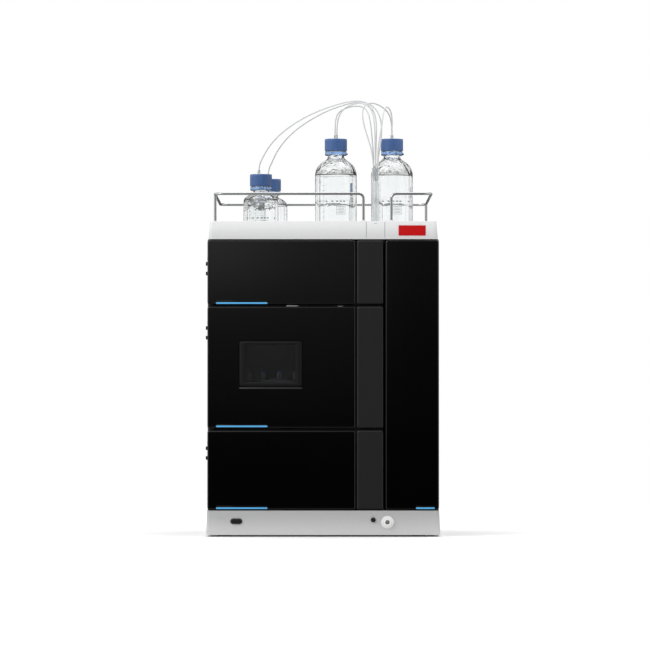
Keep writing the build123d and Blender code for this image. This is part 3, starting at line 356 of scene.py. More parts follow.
class Skin(Enum):
    """The tower's finishes."""

    GLOSS_BLACK = Finish("gloss_black", (0.0006, 0.0006, 0.0007), 0.05, haze=0.02, drift=0.05)
    MATTE_BLACK = Finish("matte_black", (0.0030, 0.0030, 0.0031), 0.45, grain_scale=1500,
                         grain_height=0.00004, haze=0.08)
    LINER_BLACK = Finish("liner_black", (0.018, 0.018, 0.019), 0.5, grain_scale=1100,
                         grain_height=0.00005)
    CASE_BLACK = Finish("case_black", (0.014, 0.014, 0.015), 0.5, grain_scale=700,
                        grain_height=0.00012, haze=0.1, drift=0.12)
    # Painted light: the base's front gets brighter towards the bottom, standing in for light
    # bounced off the floor.
    BASE_GREY = Finish("base_grey", (0.36, 0.362, 0.36), 0.42, grain_scale=1300,
                       grain_height=0.00003, drift=0.02, painted_height_light=(0.004, 0.062, 1.37, 0.96))
    # Painted light: the rack's front gets brighter towards its top, standing in for light falling
    # from above.
    RACK_GREY = Finish("rack_grey", (0.50, 0.502, 0.503), 0.38, grain_scale=1300,
                       grain_height=0.00002, drift=0.015, painted_height_light=(0.712, 0.752, 0.98, 1.26))
    LIGHT_BLUE = Finish("light_blue", (0.039, 0.184, 0.346), 0.3, emission=1.0, drift=0.04)
    SMOKED_PANE = Finish("smoked_pane", (0.30, 0.30, 0.31), 0.03, transmission=1.0, ior=1.45,
                         haze=0.02)
    CLEAR_PLASTIC = Finish("clear_plastic", (0.93, 0.95, 0.96), 0.12, transmission=0.92, ior=1.4,
                           haze=0.06)
    BOTTLE_GLASS = Finish("bottle_glass", (0.965, 0.975, 0.975), 0.0, transmission=1.0, ior=1.47,
                          haze=0.0, drift=0.005, ripple=0.0042)
    SOLVENT = Finish("solvent", (0.99, 0.995, 1.0), 0.0, transmission=1.0, ior=1.333, haze=0.0,
                     drift=0.002)
    RING_BLUE = Finish("ring_blue", (0.54, 0.70, 0.95), 0.08, transmission=0.95, ior=1.4)
    EDGE_BRIGHT = Finish("edge_bright", (0.16, 0.16, 0.165), 0.3, metallic=1.0)
    PRINT_GREY = Finish("print_grey", (0.13, 0.135, 0.14), 0.6, specular=0.1)
    PANE_BORDER = Finish("pane_border", (0.0018, 0.0018, 0.0019), 0.4, specular=0.4)
    LATCH_BRIGHT = Finish("latch_bright", (0.80, 0.80, 0.79), 0.25, metallic=0.6)
    DARK_STEEL = Finish("dark_steel", (0.035, 0.035, 0.036), 0.4, metallic=1.0)
    SEPTUM_BLUE = Finish("septum_blue", (0.03, 0.10, 0.32), 0.4)
    CAP_BLUE = Finish("cap_blue", (0.040, 0.098, 0.255), 0.32, grain_scale=1400,
                      grain_height=0.00003, haze=0.08)
    BRIGHT_WIRE = Finish("bright_wire", (0.46, 0.465, 0.47), 0.22, metallic=1.0, haze=0.08)
    STEEL = Finish("steel", (0.50, 0.50, 0.49), 0.28, metallic=1.0, grain_scale=2200,
                   grain_height=0.00002, haze=0.12)
    ALLOY = Finish("alloy", (0.34, 0.35, 0.37), 0.4, metallic=1.0, grain_scale=1800,
                   grain_height=0.00003)
    RUBBER = Finish("rubber", (0.012, 0.012, 0.012), 0.75, grain_scale=900, grain_height=0.00008)
    PORT_WHITE = Finish("port_white", (0.72, 0.72, 0.71), 0.35, grain_height=0.00002)
    VIAL_GLASS = Finish("vial_glass", (0.80, 0.86, 0.88), 0.08, transmission=0.6, ior=1.45)
    LINE_CLEAR = Finish("line_clear", (0.50, 0.51, 0.515), 0.3, specular=0.25)
    PLATE_RED = Finish("plate_red", (0.39, 0.0012, 0.002), 0.45, haze=0.08, specular=0.12)

    def dress(self, target: bpy.types.Object) -> None:
        """Give an object this finish on every slot."""
        material = self.value.build()
        if not target.data.materials:
            target.data.materials.append(material)
        for index in range(len(target.data.materials)):
            target.data.materials[index] = material


# ---- mesh helpers
def deselect_all() -> None:
    """Leave object mode and deselect everything."""
    if bpy.context.object and bpy.context.object.mode != "OBJECT":
        bpy.ops.object.mode_set(mode="OBJECT")
    bpy.ops.object.select_all(action="DESELECT")


def select_only(piece: bpy.types.Object) -> None:
    """Select one object, make it active and leave everything else unselected."""
    deselect_all()
    piece.select_set(True)
    bpy.context.view_layer.objects.active = piece


def start_mesh(name: str, points: list, edges: list[tuple[int, int]],
               faces: list[tuple[int, ...]]) -> bpy.types.Object:
    """Start a mesh object from its points and what joins them.

    Args:
        name: The object's name.
        points: Places of the points.
        edges: Loose edges, as pairs of point numbers.
        faces: Faces, as point numbers.

    Returns:
        The object, active and selected.
    """
    deselect_all()
    bpy.ops.mesh.primitive_plane_add(size=1.0, location=(0, 0, 0))
    made = bpy.context.object
    made.name = name
    shape = bmesh.new()
    corners = [shape.verts.new(point) for point in points]
    for edge in edges:
        shape.edges.new([corners[index] for index in edge])
    for face in faces:
        shape.faces.new([corners[index] for index in face])
    made.data.clear_geometry()
    shape.to_mesh(made.data)
    shape.free()
    return made


def finish_mesh(piece: bpy.types.Object, name: str, body: str, skin: Skin,
                smooth_angle: float = 35.0) -> bpy.types.Object:
    """Apply a piece's place and modifiers, smooth it, dress it and ride it on a body.

    Args:
        piece: The mesh object, as modelled.
        name: The piece's name.
        body: The frame body that it rides on.
        skin: Its finish.
        smooth_angle: Sharp edges start at this angle, in degrees.

    Returns:
        The same object.
    """
    select_only(piece)
    bpy.ops.object.transform_apply(location=True, rotation=True, scale=True)
    for modifier in list(piece.modifiers):
        bpy.ops.object.modifier_apply(modifier=modifier.name)
    bpy.ops.object.shade_smooth_by_angle(angle=math.radians(smooth_angle))
    piece.name = name
    piece.data.name = name
    skin.dress(piece)
    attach(piece, body)
    piece.select_set(False)
    LOG.info("piece %s: %d faces on %s", name, len(piece.data.polygons), body)
    return piece


def spin_profile(name: str, profile: list[tuple[float, float]], centre: Vector,
                 steps: int = 64) -> bpy.types.Object:
    """Turn an open profile of (radius, height) about a vertical axis.

    Args:
        name: The object's name.
        profile: Points from one pole or rim to the other, heights above centre.
        centre: A point on the axis.
        steps: Segments of the full turn.

    Returns:
        The new mesh object, with its place in its mesh.
    """
    points = [centre + Vector((radius, 0, height)) for radius, height in profile]
    made = start_mesh(name, points, [(index, index + 1) for index in range(len(points) - 1)], [])
    bpy.ops.object.mode_set(mode="EDIT")
    bpy.ops.mesh.select_all(action="SELECT")
    bpy.ops.mesh.spin(steps=steps, angle=2 * math.pi, center=centre, axis=(0, 0, 1))
    bpy.ops.mesh.select_all(action="SELECT")
    bpy.ops.mesh.remove_doubles(threshold=0.000005)
    bpy.ops.mesh.normals_make_consistent(inside=False)
    bpy.ops.object.mode_set(mode="OBJECT")
    return made


def round_wire(name: str, radius: float, kind: str, paths: list[list[Vector]]) -> bpy.types.Object:
    """Make a curve object of a round section along one or more paths.

    Args:
        name: The object's name.
        radius: Radius of the section.
        kind: Blender's kind of spline.
        paths: The points of each path.

    Returns:
        The curve object.
    """
    data = bpy.data.curves.new(name, "CURVE")
    data.dimensions = "3D"
    data.bevel_depth = radius
    data.bevel_resolution = 5
    data.use_fill_caps = True
    for path in paths:
        spline = data.splines.new(kind)
        spline.points.add(len(path) - 1)
        for knot, place in zip(spline.points, path):
            knot.co = (*place, 1.0)
    wire = bpy.data.objects.new(name, data)
    bpy.context.scene.collection.objects.link(wire)
    return wire


# ---- carried-over nodes
@dataclass
class CarriedNodes:
    """Dresses every frame node whose CAD shape stays visible."""

    by_ending: dict[str, Skin] = field(default_factory=lambda: {
        "door_panel": Skin.GLOSS_BLACK,
        "door_strip": Skin.MATTE_BLACK,
        "door_liner": Skin.LINER_BLACK,
        "enclosure": Skin.CASE_BLACK,
        "light_bar": Skin.LIGHT_BLUE,
        "hinges": Skin.DARK_STEEL,
    })
    by_name: dict[str, Skin] = field(default_factory=lambda: {
        "base_housing": Skin.BASE_GREY,
        "status_plate": Skin.BASE_GREY,
        "base_feet": Skin.RUBBER,
        "power_button": Skin.MATTE_BLACK,
        "power_switch_bezel": Skin.LINER_BLACK,
        "drain_port_small": Skin.RUBBER,
        "drain_port_large": Skin.PORT_WHITE,
        "side_clips": Skin.MATTE_BLACK,
        "purge_knob": Skin.MATTE_BLACK,
        "sampler_window": Skin.SMOKED_PANE,
        "sampler_carousel": Skin.ALLOY,
        "sample_vials": Skin.VIAL_GLASS,
        "column_heater": Skin.ALLOY,
        "lamp_cover": Skin.ALLOY,
        "rack_tray": Skin.RACK_GREY,
        "rack_guide_block": Skin.RACK_GREY,
        "bottle_rail": Skin.BRIGHT_WIRE,
        "tube_guide": Skin.CLEAR_PLASTIC,
        "cap_inserts": Skin.CLEAR_PLASTIC,
    })
    rest: Skin = Skin.STEEL

    def skin_of(self, node: str) -> Skin:
        """Finish of one node, by its name or its name's ending."""
        if node in self.by_name:
            return self.by_name[node]
        for ending, skin in self.by_ending.items():
            if node.endswith(ending):
                return skin
        if node.startswith("bottle_"):
            return Skin.BOTTLE_GLASS
        if node.startswith("cap_"):
            return Skin.CAP_BLUE
        if node.startswith("line_"):
            return Skin.CLEAR_PLASTIC
        return self.rest

    def dress(self) -> None:
        """Give every node its finish."""
        for name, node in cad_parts.items():
            self.skin_of(name).dress(node)
        LOG.info("dressed %d frame nodes", len(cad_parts))


# ---- camera, floor and light
# Pairs of position and level. A position is half of the ray's component along the axis plus 0.5,
# or the component itself for what shines through glass from above.
MIRRORED_HEIGHTS = [
    (0.0, 0.35), (0.40, 0.16), (0.480, 0.012), (0.4972, 0.010), (0.4985, 0.045), (0.5108, 0.13),
    (0.5119, 0.17), (0.5185, 0.29), (0.56, 0.30), (0.70, 0.36), (0.80, 0.50), (1.0, 0.75)]
MIRRORED_SIDES = [
    (0.0, 1.0), (0.45, 1.0), (0.4868, 1.0), (0.4975, 0.95), (0.5065, 0.85), (0.5073, 0.40),
    (0.513, 0.30), (0.60, 0.9), (1.0, 1.0)]
BACKDROP_LIFTS = [
    (0.0, 1.0), (0.10, 1.0), (0.22, 0.35), (0.30, 0.9), (0.45, 0.30), (0.62, 0.75), (0.80, 0.5),
    (1.0, 1.0)]


@dataclass
class Studio:
    """Camera, pale floor and soft light."""

    camera_distance: float = 10.87
    camera_height: float = 0.302
    frame_width: float = 1.551
    sensor: float = 36.0
    aim_side: float = 0.0043
    aim_height: float = 0.5048
    floor_front: float = 7.0
    floor_back: float = 3.2
    floor_side: float = 7.0
    floor_drop: float = 0.3 * MM
    floor_tone: float = 0.93
    glow_sides: tuple[float, float] = (0.0, -0.028)
    glow_heights: tuple[float, float] = (0.0225, 0.036)
    glow_level: float = 0.30
    wall_sides: tuple[float, float] = (0.55, 0.85)
    wall_level: float = 0.8
    light_aim: float = 0.5
    flags: tuple[tuple[float, float, float], ...] = (
        (19.0, 2.5, 0.78), (29.5, 3.5, 0.30), (40.0, 3.5, 0.60), (60.0, 8.0, 0.25),
        (80.0, 6.0, 0.50))
    left_flags: int = 4
    left_spread: float = 1.06
    left_turn: float = 1.5
    left_strength: float = 0.65
    softboxes: tuple[tuple[str, tuple, tuple, float], ...] = (
        ("key", (-2.4, -2.6, 2.9), (1.8, 1.8), 60.0),
        ("top", (0.4, 0.6, 3.4), (2.6, 2.2), 45.0))

    def place_camera(self) -> None:
        """Set the camera level with the base, a long way off, as for a product view."""
        data = bpy.data.cameras.new("camera")
        data.sensor_width = self.sensor
        data.lens = self.sensor * self.camera_distance / self.frame_width
        data.clip_end = 60.0
        camera = bpy.data.objects.new("camera", data)
        bpy.context.scene.collection.objects.link(camera)
        camera.location = (TOWER_X, DOORS_FRONT - self.camera_distance, self.camera_height)
        aim = Vector((TOWER_X + self.aim_side, DOORS_FRONT, self.aim_height))
        camera.rotation_euler = (aim - camera.location).to_track_quat("-Z", "Y").to_euler()
        bpy.context.scene.camera = camera

    def lay_floor(self) -> None:
        """Lay a plain pale floor that the polished doors don't mirror."""
        deselect_all()
        bpy.ops.mesh.primitive_plane_add(size=1.0)
        floor = bpy.context.object
        floor.name = "floor"
        floor.scale = (2 * self.floor_side, self.floor_front + self.floor_back, 1.0)
        floor.location = (TOWER_X, (self.floor_back - self.floor_front) / 2,
                          -self.floor_drop)
        material = bpy.data.materials.new("floor_pale")
        material.use_nodes = True
        shader = material.node_tree.nodes["Principled BSDF"]
        shader.inputs["Base Color"].default_value = (*[self.floor_tone] * 3, 1.0)
        shader.inputs["Roughness"].default_value = 0.9
        shader.inputs["Specular IOR Level"].default_value = 0.0
        floor.data.materials.append(material)
        floor.visible_glossy = False

    def mirrored_room(self, nodes: Nodes, split: bpy.types.Node) -> bpy.types.NodeSocket:
        """What gloss mirrors: a dark room with bright side walls and a bright ceiling.

        Args:
            nodes: The world's nodes.
            split: The parts of the ray's direction.

        Returns:
            The level's socket.
        """
        height = nodes.math("MULTIPLY_ADD", split.outputs["Z"], 0.5, 0.5)
        side = nodes.math("MULTIPLY_ADD", split.outputs["X"], 0.5, 0.5)
        room = nodes.math("MULTIPLY", nodes.ramp(height, MIRRORED_HEIGHTS, "LINEAR"),
                          nodes.ramp(side, MIRRORED_SIDES, "LINEAR"))
        glow = nodes.math("MULTIPLY", nodes.smoothstep(split.outputs["X"], *self.glow_sides),
                          nodes.smoothstep(split.outputs["Z"], *self.glow_heights))
        room = nodes.math("ADD", room, nodes.math("MULTIPLY", glow, self.glow_level))
        across = nodes.math("ABSOLUTE", split.outputs["X"])
        walls = nodes.smoothstep(across, *self.wall_sides, 0.0, self.wall_level)
        return nodes.math("ADD", room, walls)

    def backdrop_bands(self, nodes: Nodes, split: bpy.types.Node) -> bpy.types.NodeSocket:
        """What shines through glass: a white backdrop with a few soft grey flags around it.

        Args:
            nodes: The world's nodes.
            split: The parts of the ray's direction.

        Returns:
            The level's socket.
        """
        turn = nodes.math("ARCTAN2", split.outputs["X"], split.outputs["Y"])
        turn = nodes.math("MULTIPLY_ADD", turn, 0.5 / math.pi, 0.5)
        stops = []
        for index, (centre, half, level) in enumerate(self.flags):
            for degrees, tone in ((centre - half, 1.0), (centre, level), (centre + half, 1.0)):
                stops.append((0.5 + degrees / 360, tone))
                if index < self.left_flags:
                    across = degrees * self.left_spread + self.left_turn
                    stops.append((0.5 - across / 360, 1.0 - self.left_strength * (1.0 - tone)))
        return nodes.math("MULTIPLY", nodes.ramp(turn, sorted(stops), "EASE"),
                          nodes.ramp(split.outputs["Z"], BACKDROP_LIFTS, "EASE"))

    def light_world(self) -> None:
        """White surroundings, a dark room in what gloss mirrors and flags behind glass."""
        world = bpy.data.worlds.new("studio")
        bpy.context.scene.world = world
        world.use_nodes = True
        world.node_tree.nodes.clear()
        nodes = Nodes(world.node_tree)
        place = nodes.add("ShaderNodeTexCoord")
        split = nodes.add("ShaderNodeSeparateXYZ")
        nodes.link(place.outputs["Generated"], split.inputs["Vector"])
        paths = nodes.add("ShaderNodeLightPath")
        mirrored = nodes.math("MULTIPLY", paths.outputs["Is Glossy Ray"],
                              paths.outputs["Is Reflection Ray"])
        through = nodes.add("ShaderNodeMix", data_type="RGBA")
        nodes.link(paths.outputs["Is Transmission Ray"], through.inputs["Factor"])
        through.inputs["A"].default_value = (1.0, 1.0, 1.0, 1.0)
        nodes.link(self.backdrop_bands(nodes, split), through.inputs["B"])
        mix = nodes.add("ShaderNodeMix", data_type="RGBA")
        nodes.link(mirrored, mix.inputs["Factor"])
        nodes.link(through.outputs["Result"], mix.inputs["A"])
        nodes.link(self.mirrored_room(nodes, split), mix.inputs["B"])
        back = nodes.add("ShaderNodeBackground", Strength=1.0)
        nodes.link(mix.outputs["Result"], back.inputs["Color"])
        sink = nodes.add("ShaderNodeOutputWorld")
        nodes.link(back.outputs["Background"], sink.inputs["Surface"])

    def add_softbox(self, name: str, place: tuple[float, float, float],
                    size: tuple[float, float], power: float) -> None:
        """Hang one soft area light that looks at the tower's middle.

        Args:
            name: The light's name.
            place: Where it hangs.
            size: Its width and height.
            power: Its power in watts.
        """
        data = bpy.data.lights.new(name, "AREA")
        data.shape = "RECTANGLE"
        data.size, data.size_y = size
        data.energy = power
        light = bpy.data.objects.new(name, data)
        bpy.context.scene.collection.objects.link(light)
        light.location = place
        aim = Vector((TOWER_X, 0.0, self.light_aim)) - light.location
        light.rotation_euler = aim.to_track_quat("-Z", "Y").to_euler()

    def build(self) -> None:
        """Set the camera, the floor and the light."""
        self.place_camera()
        self.lay_floor()
        self.light_world()
        for softbox in self.softboxes:
            self.add_softbox(*softbox)
        bpy.context.scene.view_settings.view_transform = "Standard"
        LOG.info("studio is set")


# ---- solvent lines
@dataclass
class SolventLine:
    """One thin clear line from a cap's sleeve to the comb of the clear guide.

    The points between are millimetres from the tower's middle, the doors' front and the rack's top.
    """

    name: str
    bottle_cap: str
    from_cap: tuple[float, float]
    column: int
    row: int
    sleeve_run: float
    between: list[tuple[float, float, float]]
    comb_rise: float
    length: float
    radius: float = 1.6 * MM
    sleeve_rise: float = 2.0 * MM
    comb_pitch: tuple[float, float] = (4.3 * MM, 2.3 * MM)
    comb_foot: float = 96.0 * MM

    def points(self) -> list[Vector]:
        """Route of the line.

        Returns:
            The control points, from the sleeve to the comb.
        """
        cap, guide = middle(self.bottle_cap), middle("tube_guide")
        start = Vector((cap.x + self.from_cap[0] * MM, cap.y + self.from_cap[1] * MM,
                        high(self.bottle_cap).z + self.sleeve_rise))
        hole = (guide.x + self.column * self.comb_pitch[0], guide.y + self.row * self.comb_pitch[1])
        route = [start, start + Vector((0, 0, self.sleeve_run * MM))]
        route += [Vector((TOWER_X + x * MM, DOORS_FRONT + y * MM, RACK_TOP + z * MM))
                  for x, y, z in self.between]
        route += [Vector((*hole, RACK_TOP + rise))
                  for rise in (self.comb_rise * MM, self.comb_foot)]
        return route

    def build(self) -> None:
        """Make the line as one smooth NURBS cord."""
        route = self.points()
        cord = round_wire(self.name + "_cord", self.radius, "NURBS", [route])
        cord.data.resolution_u = 10
        spline = cord.data.splines[0]
        spline.order_u = 3
        spline.use_endpoint_u = True
        cord.data.materials.append(Skin.LINE_CLEAR.value.build())
        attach(cord, "tower")
        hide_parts(self.name)
        LOG.info("cord %s", self.name)


SOLVENT_LINES = [
    SolventLine("line_half_litre_front", "cap_half_litre_front", (-5.0, 0.0), 1, 1, 19.5,
                [(-149, 309, 168.5), (-130.5, 300, 199.5), (-103, 274, 226), (-72.5, 242, 247),
                 (-40.5, 206, 263), (-8, 170, 275.5), (26, 134, 285), (59.5, 100, 292),
                 (93, 74, 293), (123, 55, 277), (137.5, 45, 250.5), (141, 36, 216.5),
                 (136.5, 29, 180.5)], 136.5, 0.641),
    SolventLine("line_half_litre_rear", "cap_half_litre_rear", (-5.0, 0.0), 0, 1, 20.5,
                [(-129.5, 540, 167.5), (-115.5, 522, 196.5), (-95.5, 492, 221.5),
                 (-71.5, 455, 242.5), (-46.5, 413, 258.5), (-20, 366, 271.5), (5, 318, 281.5),
                 (29, 270, 288), (49.5, 222, 291.5), (67.5, 176, 293.5), (84, 134, 293.5),
                 (100, 97, 288.5), (116, 66, 276.5), (125.5, 44, 254), (128, 31, 223.5),
                 (126.5, 26, 189.5)], 141.5, 0.803),
    SolventLine("line_litre_left_a", "cap_litre_left", (-2.2, 0.0), -1, 1, 23.0,
                [(30, 152, 254), (38, 148, 271), (58.5, 127, 280), (84, 94, 282),
                 (104, 62, 272.5), (112.5, 40, 245.5), (116, 29, 211.5)], 152.0, 0.362),
    SolventLine("line_litre_left_b", "cap_litre_left", (2.2, 0.0), 0, -1, 24.0,
                [(36.5, 144, 257), (48, 127, 275.5), (69.5, 95, 285.5), (92, 62, 286.5),
                 (111, 37, 276.5), (120.5, 25, 254), (123.5, 20.5, 220.5), (124, 20.5, 187)],
                137.0, 0.374),
    SolventLine("line_litre_right_a", "cap_litre_right", (0.0, 2.2), -1, -1, 22.0,
                [(164.5, 148, 251.5), (155.5, 132, 271), (136.5, 92, 282.5), (116, 52, 286.5),
                 (98.5, 27, 278.5), (93, 17, 258.5), (97.5, 15, 228.5), (107.5, 16, 197.5),
                 (116.5, 18.5, 167.5)], 131.0, 0.380),
    SolventLine("line_litre_right_b", "cap_litre_right", (0.0, -2.2), 1, -1, 21.5,
                [(167, 142, 251), (163.5, 126, 272), (153.5, 98, 281), (145, 62, 267.5),
                 (142, 31, 240), (137, 19, 211), (131.5, 17, 181)], 135.0, 0.328),
]


# ---- bottles
def cubic(a: tuple[float, float], b: tuple[float, float], c: tuple[float, float],
          d: tuple[float, float], steps: int = 12) -> list[tuple[float, float]]:
    """Points along a cubic curve.

    Args:
        a: Start.
        b: First control point.
        c: Second control point.
        d: End.
        steps: Spans of the curve.

    Returns:
        The points after the start, the end included.
    """
    points = []
    for step in range(1, steps + 1):
        t = step / steps
        points.append(tuple(
            (1 - t) ** 3 * p + 3 * (1 - t) ** 2 * t * q + 3 * (1 - t) * t ** 2 * r + t ** 3 * s
            for p, q, r, s in zip(a, b, c, d)))
    return points


@dataclass
class SolventBottle:
    """Screw-cap laboratory bottle with its solvent, pour ring and printed scale."""

    node: str
    shoulder: float
    fill: float
    wall: float = 3.5 * MM
    neck: float = 20.0 * MM
    thread: float = 22.0 * MM
    mouth: float = 16.0 * MM
    ring: float = 25.0 * MM
    foot_round: float = 7.0 * MM
    ring_drop: float = 25.7 * MM
    ring_height: float = 9.0 * MM
    neck_length: float = 4.0 * MM
    overlap: float = 0.15 * MM
    kick: float = 1.6 * MM
    shoulder_pulls: tuple[float, float] = (0.70, 0.20)
    ripple_least: float = 0.03
    ripple_lead: float = 3.0 * MM
    ripple_fades: tuple[float, float] = (16.0 * MM, 12.0 * MM)
    thread_turns: int = 3
    thread_depth: float = 1.0 * MM
    nub_size: tuple[float, float, float] = (5.2 * MM, 9.6 * MM, 6.4 * MM)
    nub_taper: tuple[float, float, float] = (1.0, 0.62, 0.70)
    nub_round: float = 1.3 * MM
    print_line: float = 0.55 * MM
    print_proud: float = 0.12 * MM
    print_depth: float = 0.06 * MM
    print_span: float = 2.5 * MM
    marks: int = 9
    scale_turn: float = -38.0
    scale_range: tuple[float, float] = (0.18, 0.84)
    mark_widths: tuple[float, float] = (5.5 * MM, 9.0 * MM)
    field_turn: float = 14.0
    field_share: tuple[float, float, float] = (0.43, 0.14, 0.46)
    rows: int = 5
    row_pitch: float = 0.17
    row_widths: tuple[float, float] = (0.84, 0.72)
    row_weight: float = 1.6
    dot_turns: tuple[float, ...] = (-50.0, -27.0, -10.0, 3.0, 13.5, 23.0, 52.0)
    dot_rise: float = 0.592
    dot_size: tuple[float, float] = (5.5 * MM, 2.4 * MM)
    centre: Vector = field(init=False)
    radius: float = field(init=False)
    height: float = field(init=False)

    def __post_init__(self) -> None:
        """Take the place and size from the frame."""
        foot, top = low(self.node), high(self.node)
        self.centre = Vector(((foot.x + top.x) / 2, (foot.y + top.y) / 2, foot.z))
        self.radius = (top.x - foot.x) / 2
        self.height = top.z - foot.z

    def shoulder_curve(self, radius: float, neck: float) -> list[tuple[float, float]]:
        """Full shoulder from the body to the neck, the body's end left out."""
        start = self.height - self.ring_drop - self.ring_height - self.neck_length
        rise = start - self.shoulder
        lower, upper = self.shoulder_pulls
        return cubic((radius, self.shoulder), (radius, self.shoulder + lower * rise),
                     (neck, start - upper * rise), (neck, start))

    def wall_profile(self, radius: float, neck: float, lift: float) -> list[tuple[float, float]]:
        """Profile from the bottom's middle to the end of the shoulder.

        Args:
            radius: Radius of the body.
            neck: Radius of the neck.
            lift: Height of the bottom above the shelf.

        Returns:
            The profile's points.
        """
        corner = self.foot_round
        points = [(0.0, lift + self.kick), (0.55 * radius, lift + self.kick),
                  (radius - 2.0 * corner, lift + 0.2 * self.kick), (radius - corner, lift)]
        points += [(radius - corner + corner * math.sin(a), lift + corner - corner * math.cos(a))
                   for a in (math.pi / 12 * k for k in range(1, 7))]
        points += [(radius, lift + corner + (self.shoulder - lift - corner) * k / 4)
                   for k in range(1, 5)]
        return points + self.shoulder_curve(radius, neck)

    def build_glass(self) -> None:
        """Spin the wall as one closed shell, thread and lip included."""
        ring_top = self.height - self.ring_drop
        ring_foot = ring_top - self.ring_height
        root = self.thread - self.thread_depth
        outer = self.wall_profile(self.radius, self.neck, 0.0)
        outer += [(self.neck, ring_foot), (self.ring - 1.0 * MM, ring_foot + 0.4 * MM),
                  (self.ring, ring_foot + 1.6 * MM), (self.ring, ring_top - 1.4 * MM),
                  (self.ring - 1.4 * MM, ring_top), (root, ring_top)]
        pitch = (self.ring_drop - 5.0 * MM) / self.thread_turns
        for turn in range(self.thread_turns):
            base = ring_top + 2.0 * MM + turn * pitch
            outer += [(root, base), (self.thread, base + 0.25 * pitch),
                      (self.thread, base + 0.5 * pitch), (root, base + 0.75 * pitch)]
        lip = self.height
        outer += [(root, lip - 1.0 * MM), (root - 0.6 * MM, lip), (self.mouth + 1.0 * MM, lip),
                  (self.mouth, lip - 1.0 * MM)]
        inner = self.wall_profile(self.radius - self.wall, self.mouth, self.wall)
        shell = spin_profile(self.node + "_glass", outer + inner[::-1], self.centre, 96)
        self.mark_ripple(shell)
        finish_mesh(shell, self.node + "_glass", "tower", Skin.BOTTLE_GLASS, 30.0)
        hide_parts(self.node)

    def mark_ripple(self, shell: bpy.types.Object) -> None:
        """Write how uneven the blown wall is: most on the shoulder, little on the body.

        Args:
            shell: The spun glass.
        """
        levels = shell.data.attributes.new("ripple", "FLOAT", "POINT")
        for vertex, level in zip(shell.data.vertices, levels.data):
            height = vertex.co.z - self.centre.z
            rise = (height - self.shoulder + self.ripple_lead) / self.ripple_fades[0]
            drop = (self.height - self.ring_drop - height) / self.ripple_fades[1]
            share = max(0.0, min(1.0, rise, drop))
            level.value = self.ripple_least + (1.0 - self.ripple_least) * share

    def build_solvent(self) -> None:
        """Fill the bottle, with a meniscus that climbs the wall."""
        radius = self.radius - self.wall + self.overlap
        wall = self.wall_profile(radius, self.mouth, self.wall - self.overlap)
        profile = [point for point in wall if point[1] < self.fill]
        rim = profile[-1][0]
        profile += [(rim, self.fill), (rim - 0.9 * MM, self.fill - 1.1 * MM),
                    (rim - 2.6 * MM, self.fill - 2.1 * MM), (rim - 5.0 * MM, self.fill - 2.5 * MM),
                    (0.5 * rim, self.fill - 2.6 * MM), (0.0, self.fill - 2.6 * MM)]
        liquid = spin_profile(self.node + "_solvent", profile, self.centre, 96)
        finish_mesh(liquid, self.node + "_solvent", "tower", Skin.SOLVENT, 40.0)

    def build_pour_ring(self) -> None:
        """Blue drip ring under the cap, with its small lifting nub."""
        top = self.height - self.ring_drop + 0.9 * MM
        foot = top - self.ring_height - 1.2 * MM
        neck, ring, thread = self.neck, self.ring, self.thread
        profile = [(neck + 0.3 * MM, foot), (ring - 0.4 * MM, foot),
                   (ring + 0.6 * MM, foot + 0.8 * MM), (ring + 1.3 * MM, foot + 3.0 * MM),
                   (ring + 1.3 * MM, top - 2.0 * MM),
                   (ring + 0.7 * MM, top - 0.4 * MM), (ring - 0.6 * MM, top),
                   (thread + 0.4 * MM, top), (thread + 0.2 * MM, top - 1.0 * MM),
                   (ring + 0.25 * MM, top - 1.6 * MM), (ring + 0.25 * MM, foot + 2.2 * MM),
                   (neck + 0.5 * MM, foot + 1.4 * MM), (neck + 0.3 * MM, foot)]
        band = spin_profile(self.node + "_pour_ring", profile, self.centre, 72)
        finish_mesh(band, self.node + "_pour_ring", "tower", Skin.RING_BLUE)
        deselect_all()
        place = self.centre + Vector((ring + 1.2 * MM, -4.0 * MM, foot + 3.2 * MM))
        bpy.ops.mesh.primitive_cube_add(size=1.0, location=place)
        nub = bpy.context.object
        nub.scale = self.nub_size
        bpy.ops.object.transform_apply(location=False, rotation=False, scale=True)
        for face in nub.data.polygons:
            face.select = face.normal.x > 0.9
        bpy.ops.object.mode_set(mode="EDIT")
        bpy.ops.transform.resize(value=self.nub_taper, center_override=nub.location)
        bpy.ops.mesh.select_all(action="SELECT")
        bpy.ops.mesh.bevel(offset=self.nub_round, segments=4, affect="EDGES")
        bpy.ops.object.mode_set(mode="OBJECT")
        finish_mesh(nub, self.node + "_pour_nub", "tower", Skin.CAP_BLUE)

    def printed_patch(self, turn: float, height: float, width: float, tall: float) -> list[Vector]:
        """Corners of a small printed patch that follows the body.

        Args:
            turn: Its middle's angle from the front, in degrees, to the right.
            height: Its middle's height above the shelf.
            width: Along the body.
            tall: Along the axis.

        Returns:
            The patch's points, as a strip from left to right, low and high in turn.
        """
        spans = max(1, round(width / self.print_span))
        radius = self.radius + self.print_proud
        points = []
        for step in range(spans + 1):
            angle = math.radians(turn) + (step / spans - 0.5) * width / radius
            for rise in (-tall / 2, tall / 2):
                points.append(self.centre + Vector((
                    radius * math.sin(angle), -radius * math.cos(angle), height + rise)))
        return points

